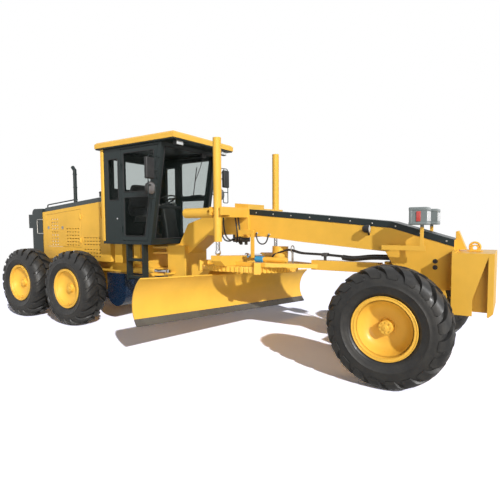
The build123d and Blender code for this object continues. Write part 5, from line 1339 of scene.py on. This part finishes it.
@dataclass(frozen=True)
class Drawbar:
    """Lines, clips and bolts on the drawbar and blade.

    Attributes:
        body: The body that most of them ride on.
        lock_y: The lock cylinder's place along Y.
        lock_z: Its height.
    """

    body: str = "drawbar"
    lock_y: float = -0.215
    lock_z: float = 1.262

    def dress_lines(self) -> None:
        """Two steel lines over the drawbar, their clip and joint, and the hoses to the leg."""
        across = (0.0, 1.0, 0.0)
        lines = joined(
            tube(bent([(1.44, y, 1.235), (1.50, y, 1.345 + rise), (1.76, y, 1.425 + rise),
                       (1.95, y, 1.372 + rise), (2.33, y, 1.362 + rise)], 0.07, 8),
                 0.0135, 10, across)
            + tube(((2.34, y, 1.362 + rise), (2.62, y, 1.345 + rise)), 0.0135, 10, across)
            for y, rise in ((-0.055, 0.0), (-0.105, -0.004)))
        dress("drawbar_lines", lines, HOSE, self.body)
        joint = soft_box((2.30, -0.135, 1.335), (2.385, -0.025, 1.385), 0.010)
        joint += soft_box((2.32, -0.09, 1.262), (2.36, -0.07, 1.34), 0.006)
        clip = lathe(((0.0, -0.03), (0.018, -0.03), (0.018, 0.03), (0.0, 0.03)), 10)
        dress("line_joint", joint + clip.moved(2.34, -0.08, 1.36), IRON, self.body)
        loop = torus(0.052, 0.007, 32, 8).facing(1.0, 0.0, 0.0).moved(1.815, -0.08, 1.425)
        loop += soft_box((1.80, -0.09, 1.20), (1.83, -0.07, 1.378), 0.005)
        dress("line_clip", loop, ZINC, self.body)
        thick = joined(
            tube(bent([(2.60, y, z - 0.004), (2.74, y, z - 0.022), (3.0, y, z + 0.016),
                       (3.29, y, z + 0.02)], 0.10, 8), 0.021, 12, across)
            for y, z in ((-0.05, 1.348), (-0.11, 1.342), (-0.08, 1.318)))
        dress("drawbar_hoses", thick, HOSE, self.body)
        stop = soft_box((3.268, -0.155, 1.290), (3.328, -0.005, 1.425), 0.012)
        dress("leg_manifold", stop, IRON, "front_frame")

    def lock_part(self, x: float, profile: Sequence[tuple[float, float]], steps: int) -> Shape:
        """A turned part of the lock cylinder, from a place along X forward."""
        return lathe(profile, steps).facing(1.0, 0.0, 0.0).moved(x, self.lock_y, self.lock_z)

    def dress_lock(self) -> None:
        """The lock cylinder lying on the drawbar: yellow barrel, blue sleeve and dark rod."""
        low, high = self.lock_y - 0.03, self.lock_y + 0.03
        barrel = self.lock_part(1.36, ((0.0, 0.0), (0.041, 0.0), (0.041, 0.42), (0.034, 0.435),
                                       (0.0, 0.435)), 32)
        for x in (1.42, 1.72):
            barrel += soft_box((x, low, 1.195), (x + 0.04, high, self.lock_z), 0.006)
        dress("lock_barrel", barrel, YELLOW, self.body)
        sleeve = self.lock_part(1.245, ((0.0, 0.0), (0.044, 0.0), (0.050, 0.006), (0.050, 0.139),
                                        (0.044, 0.145), (0.0, 0.145)), 32)
        dress("lock_sleeve", sleeve, SLEEVE_BLUE, self.body)
        rod = self.lock_part(1.224, ((0.0, 0.0), (0.017, 0.0), (0.017, 0.03), (0.0, 0.03)), 24)
        dress("lock_rod", rod, IRON, self.body)

    def dress_bolts(self) -> None:
        """Plough bolts in a row along the cutting edge's front face."""
        pitch, ends = 0.1525, 0.12
        middle, look, along, length = flat_of("cutting_edge", (1.0, 0.0, 0.0))
        count = int((length - ends) / pitch) + 1
        steps = (np.arange(count) - (count - 1) / 2.0) * pitch
        head = lathe(((0.014, -0.004), (0.014, 0.003), (0.010, 0.006), (0.0, 0.007)), 16)
        row = head.facing(*look).repeated(middle + steps[:, None] * along)
        dress("edge_bolts", row, EDGE, "blade", 30.0)


def flat_of(node: str, look: Triple) -> tuple[np.ndarray, np.ndarray, np.ndarray, float]:
    """The largest flat face of a solid that looks one way.

    Args:
        node: The solid's name in the frame.
        look: The way it should look.

    Returns:
        Its middle, its normal, the direction of its longest side and its length along that.
    """
    mesh = frame["nodes"][node].data
    best = max(mesh.polygons, key=lambda face: face.area * face.normal.dot(Vector(look)))
    corners = {corner for face in mesh.polygons for corner in face.vertices
               if face.normal.dot(best.normal) > SAME_WAY
               and abs((face.center - best.center).dot(best.normal)) < LEVEL}
    flat = np.array([mesh.vertices[corner].co for corner in sorted(corners)])
    normal = np.array(best.normal)
    centre = flat.mean(0)
    along = np.linalg.svd(flat - centre, full_matrices=False)[2][0]
    middle = centre
    for way in (along, np.cross(normal, along)):
        reach = (flat - centre) @ way
        middle = middle + way * (reach.max() + reach.min()) / 2.0
    return middle, normal, along, float(np.ptp((flat - centre) @ along))


# ---------------------------------------------------------------- carried-over castings
BY_SLOT = {finish.slot.value: finish
           for finish in (YELLOW, CHARCOAL, TYRE, CAB_GLASS, EDGE, CHROME)}
BY_NODE = {"cab_roof": ROOF, "headlamps": LAMP_STAND, "fuel_tank": TANK_BLUE, "engine_block": IRON,
           "radiator_housing": TAIL}


def dress_castings() -> None:
    """Finish the frame's own solids: by their own name, or else by their slot."""
    for name, node in frame["nodes"].items():
        for place in node.material_slots:
            base = place.material.name.split(".")[0] if place.material else ""
            finish = BY_NODE.get(name) or BY_SLOT.get(base)
            if finish is None:
                LOG.info("%s keeps %s", name, base)
                continue
            place.material = material_of(finish)


# ---------------------------------------------------------------- studio
@dataclass(frozen=True)
class Sun:
    """A distant lamp.

    Attributes:
        name: Its name.
        ray: The direction in which its light travels.
        strength: Its strength.
        width: Its angle in degrees.
        colour: Its colour.
    """

    name: str
    ray: Triple
    strength: float
    width: float
    colour: Triple

    def hang(self) -> None:
        """Add the lamp to the scene."""
        data = bpy.data.lights.new(self.name, "SUN")
        data.energy, data.angle, data.color = self.strength, math.radians(self.width), self.colour
        lamp = bpy.data.objects.new(self.name, data)
        lamp.rotation_euler = Vector(self.ray).to_track_quat("-Z", "Y").to_euler()
        bpy.context.scene.collection.objects.link(lamp)


@dataclass(frozen=True)
class Studio:
    """Camera, lamps, sky and floor.

    Attributes:
        eye: Where the camera stands.
        yaw: Its turn about the vertical in radians.
        pitch: How far it looks down in radians.
        roll: Its tilt about the line of sight in radians.
        lens: Focal length in millimetres.
        suns: The key lamp and the fill lamp.
        sky_tint: Colour of the sky's light on the machine.
        sky_level: Strength of it.
        matte: Colour of the floor that throws light back.
        bright: Colour of the floor as it is seen.
        fade: Distances at which the floor starts and ends fading to white.
        size: Half the floor's width.
    """

    eye: Triple = (4.6273, -5.7017, 1.8049)
    yaw: float = 0.5666935
    pitch: float = 0.0620442
    roll: float = -0.0063927
    lens: float = 29.770
    suns: tuple[Sun, ...] = (Sun("key", (-0.745, 0.44, -0.50), 3.6, 1.2, (1.0, 0.99, 0.975)),
                             Sun("fill", (-0.45, 0.89, -0.03), 1.6, 30.0, (1.0, 0.92, 0.80)))
    sky_tint: Triple = (0.92, 0.97, 1.0)
    sky_level: float = 0.11
    matte: Triple = (0.80, 0.80, 0.80)
    bright: Triple = (1.54, 1.56, 1.80)
    fade: tuple[float, float] = (8.0, 14.0)
    size: float = 120.0

    def camera(self) -> None:
        """Stand the camera: level at first, then rolled, pitched and yawed."""
        data = bpy.data.cameras.new("view")
        data.lens, data.sensor_width, data.clip_end = self.lens, SENSOR, FARTHEST
        camera = bpy.data.objects.new("view", data)
        camera.matrix_world = (Matrix.Translation(self.eye) @ Matrix.Rotation(self.yaw, 4, "Z")
                               @ Matrix.Rotation(math.pi / 2.0 - self.pitch, 4, "X")
                               @ Matrix.Rotation(self.roll, 4, "Z"))
        bpy.context.scene.collection.objects.link(camera)
        bpy.context.scene.camera = camera

    def sky(self) -> None:
        """A plain pale sky, white where it is seen directly, in gloss or through glass."""
        nodes = Nodes(bpy.data.worlds.new("sky"))
        seen, *others = (nodes.add("LightPath", {}, f"Is {kind} Ray")
                         for kind in ("Camera", "Glossy", "Transmission"))
        for other in others:
            seen = nodes.add("Math", {0: seen, 1: other}, operation="ADD", use_clamp=True)
        fill = nodes.add("Background", {"Color": self.sky_tint, "Strength": self.sky_level})
        white = nodes.add("Background", {"Color": WHITE})
        bpy.context.scene.world = nodes.shown(nodes.blend(seen, fill, white), "World")

    def floor(self) -> None:
        """A wide pale floor that fades to white away from the machine."""
        nodes = Nodes(bpy.data.materials.new("pale_floor"))
        seen = nodes.add("LightPath", {}, "Is Camera Ray")
        near = nodes.blend(seen, nodes.add("BsdfDiffuse", {0: self.matte}),
                           nodes.add("BsdfDiffuse", {0: self.bright}))
        reach = nodes.add("VectorMath", {0: nodes.place()}, "Value", operation="LENGTH")
        far = nodes.product(nodes.ranged(reach, *self.fade), seen)
        material = nodes.shown(nodes.blend(far, near, nodes.add("Emission", {0: WHITE})))
        mesh = bpy.data.meshes.new("floor")
        span = (-self.size, self.size)
        mesh.from_pydata([(x, y, 0.0) for x, y in oblong(span, span)], [], [(0, 1, 2, 3)])
        mesh.materials.append(material)
        floor = bpy.data.objects.new("floor", mesh)
        bpy.context.scene.collection.objects.link(floor)

    def build(self) -> None:
        """Build the whole studio."""
        bpy.context.scene.view_settings.view_transform = "Standard"
        self.camera()
        for sun in self.suns:
            sun.hang()
        self.sky()
        self.floor()


def main() -> None:
    """Build the studio and dress every sub-assembly in order."""
    Studio().build()
    dress_castings()
    for end, disc, cap in (("front", 0.010, 0.110), ("mid", 0.070, 0.130), ("rear", 0.070, 0.130)):
        for side, _ in NAMED_SIDES:
            Wheel(end, side, disc, cap).dress()
    cab, cockpit, bonnet, boom, drawbar = Cab(), Cockpit(), Bonnet(), Boom(), Drawbar()
    for step in (cab.dress_doors, cab.dress_shell, cab.dress_roof, cab.dress_mirrors,
                 cockpit.dress_seat, cockpit.dress_console,
                 bonnet.dress_rails, bonnet.dress_latches, bonnet.dress_stack,
                 boom.dress_headlamps, boom.dress_nose, boom.dress_cover, boom.dress_saddle,
                 boom.dress_hoses,
                 drawbar.dress_lines, drawbar.dress_lock, drawbar.dress_bolts):
        step()


if __name__ == "__main__":
    main()
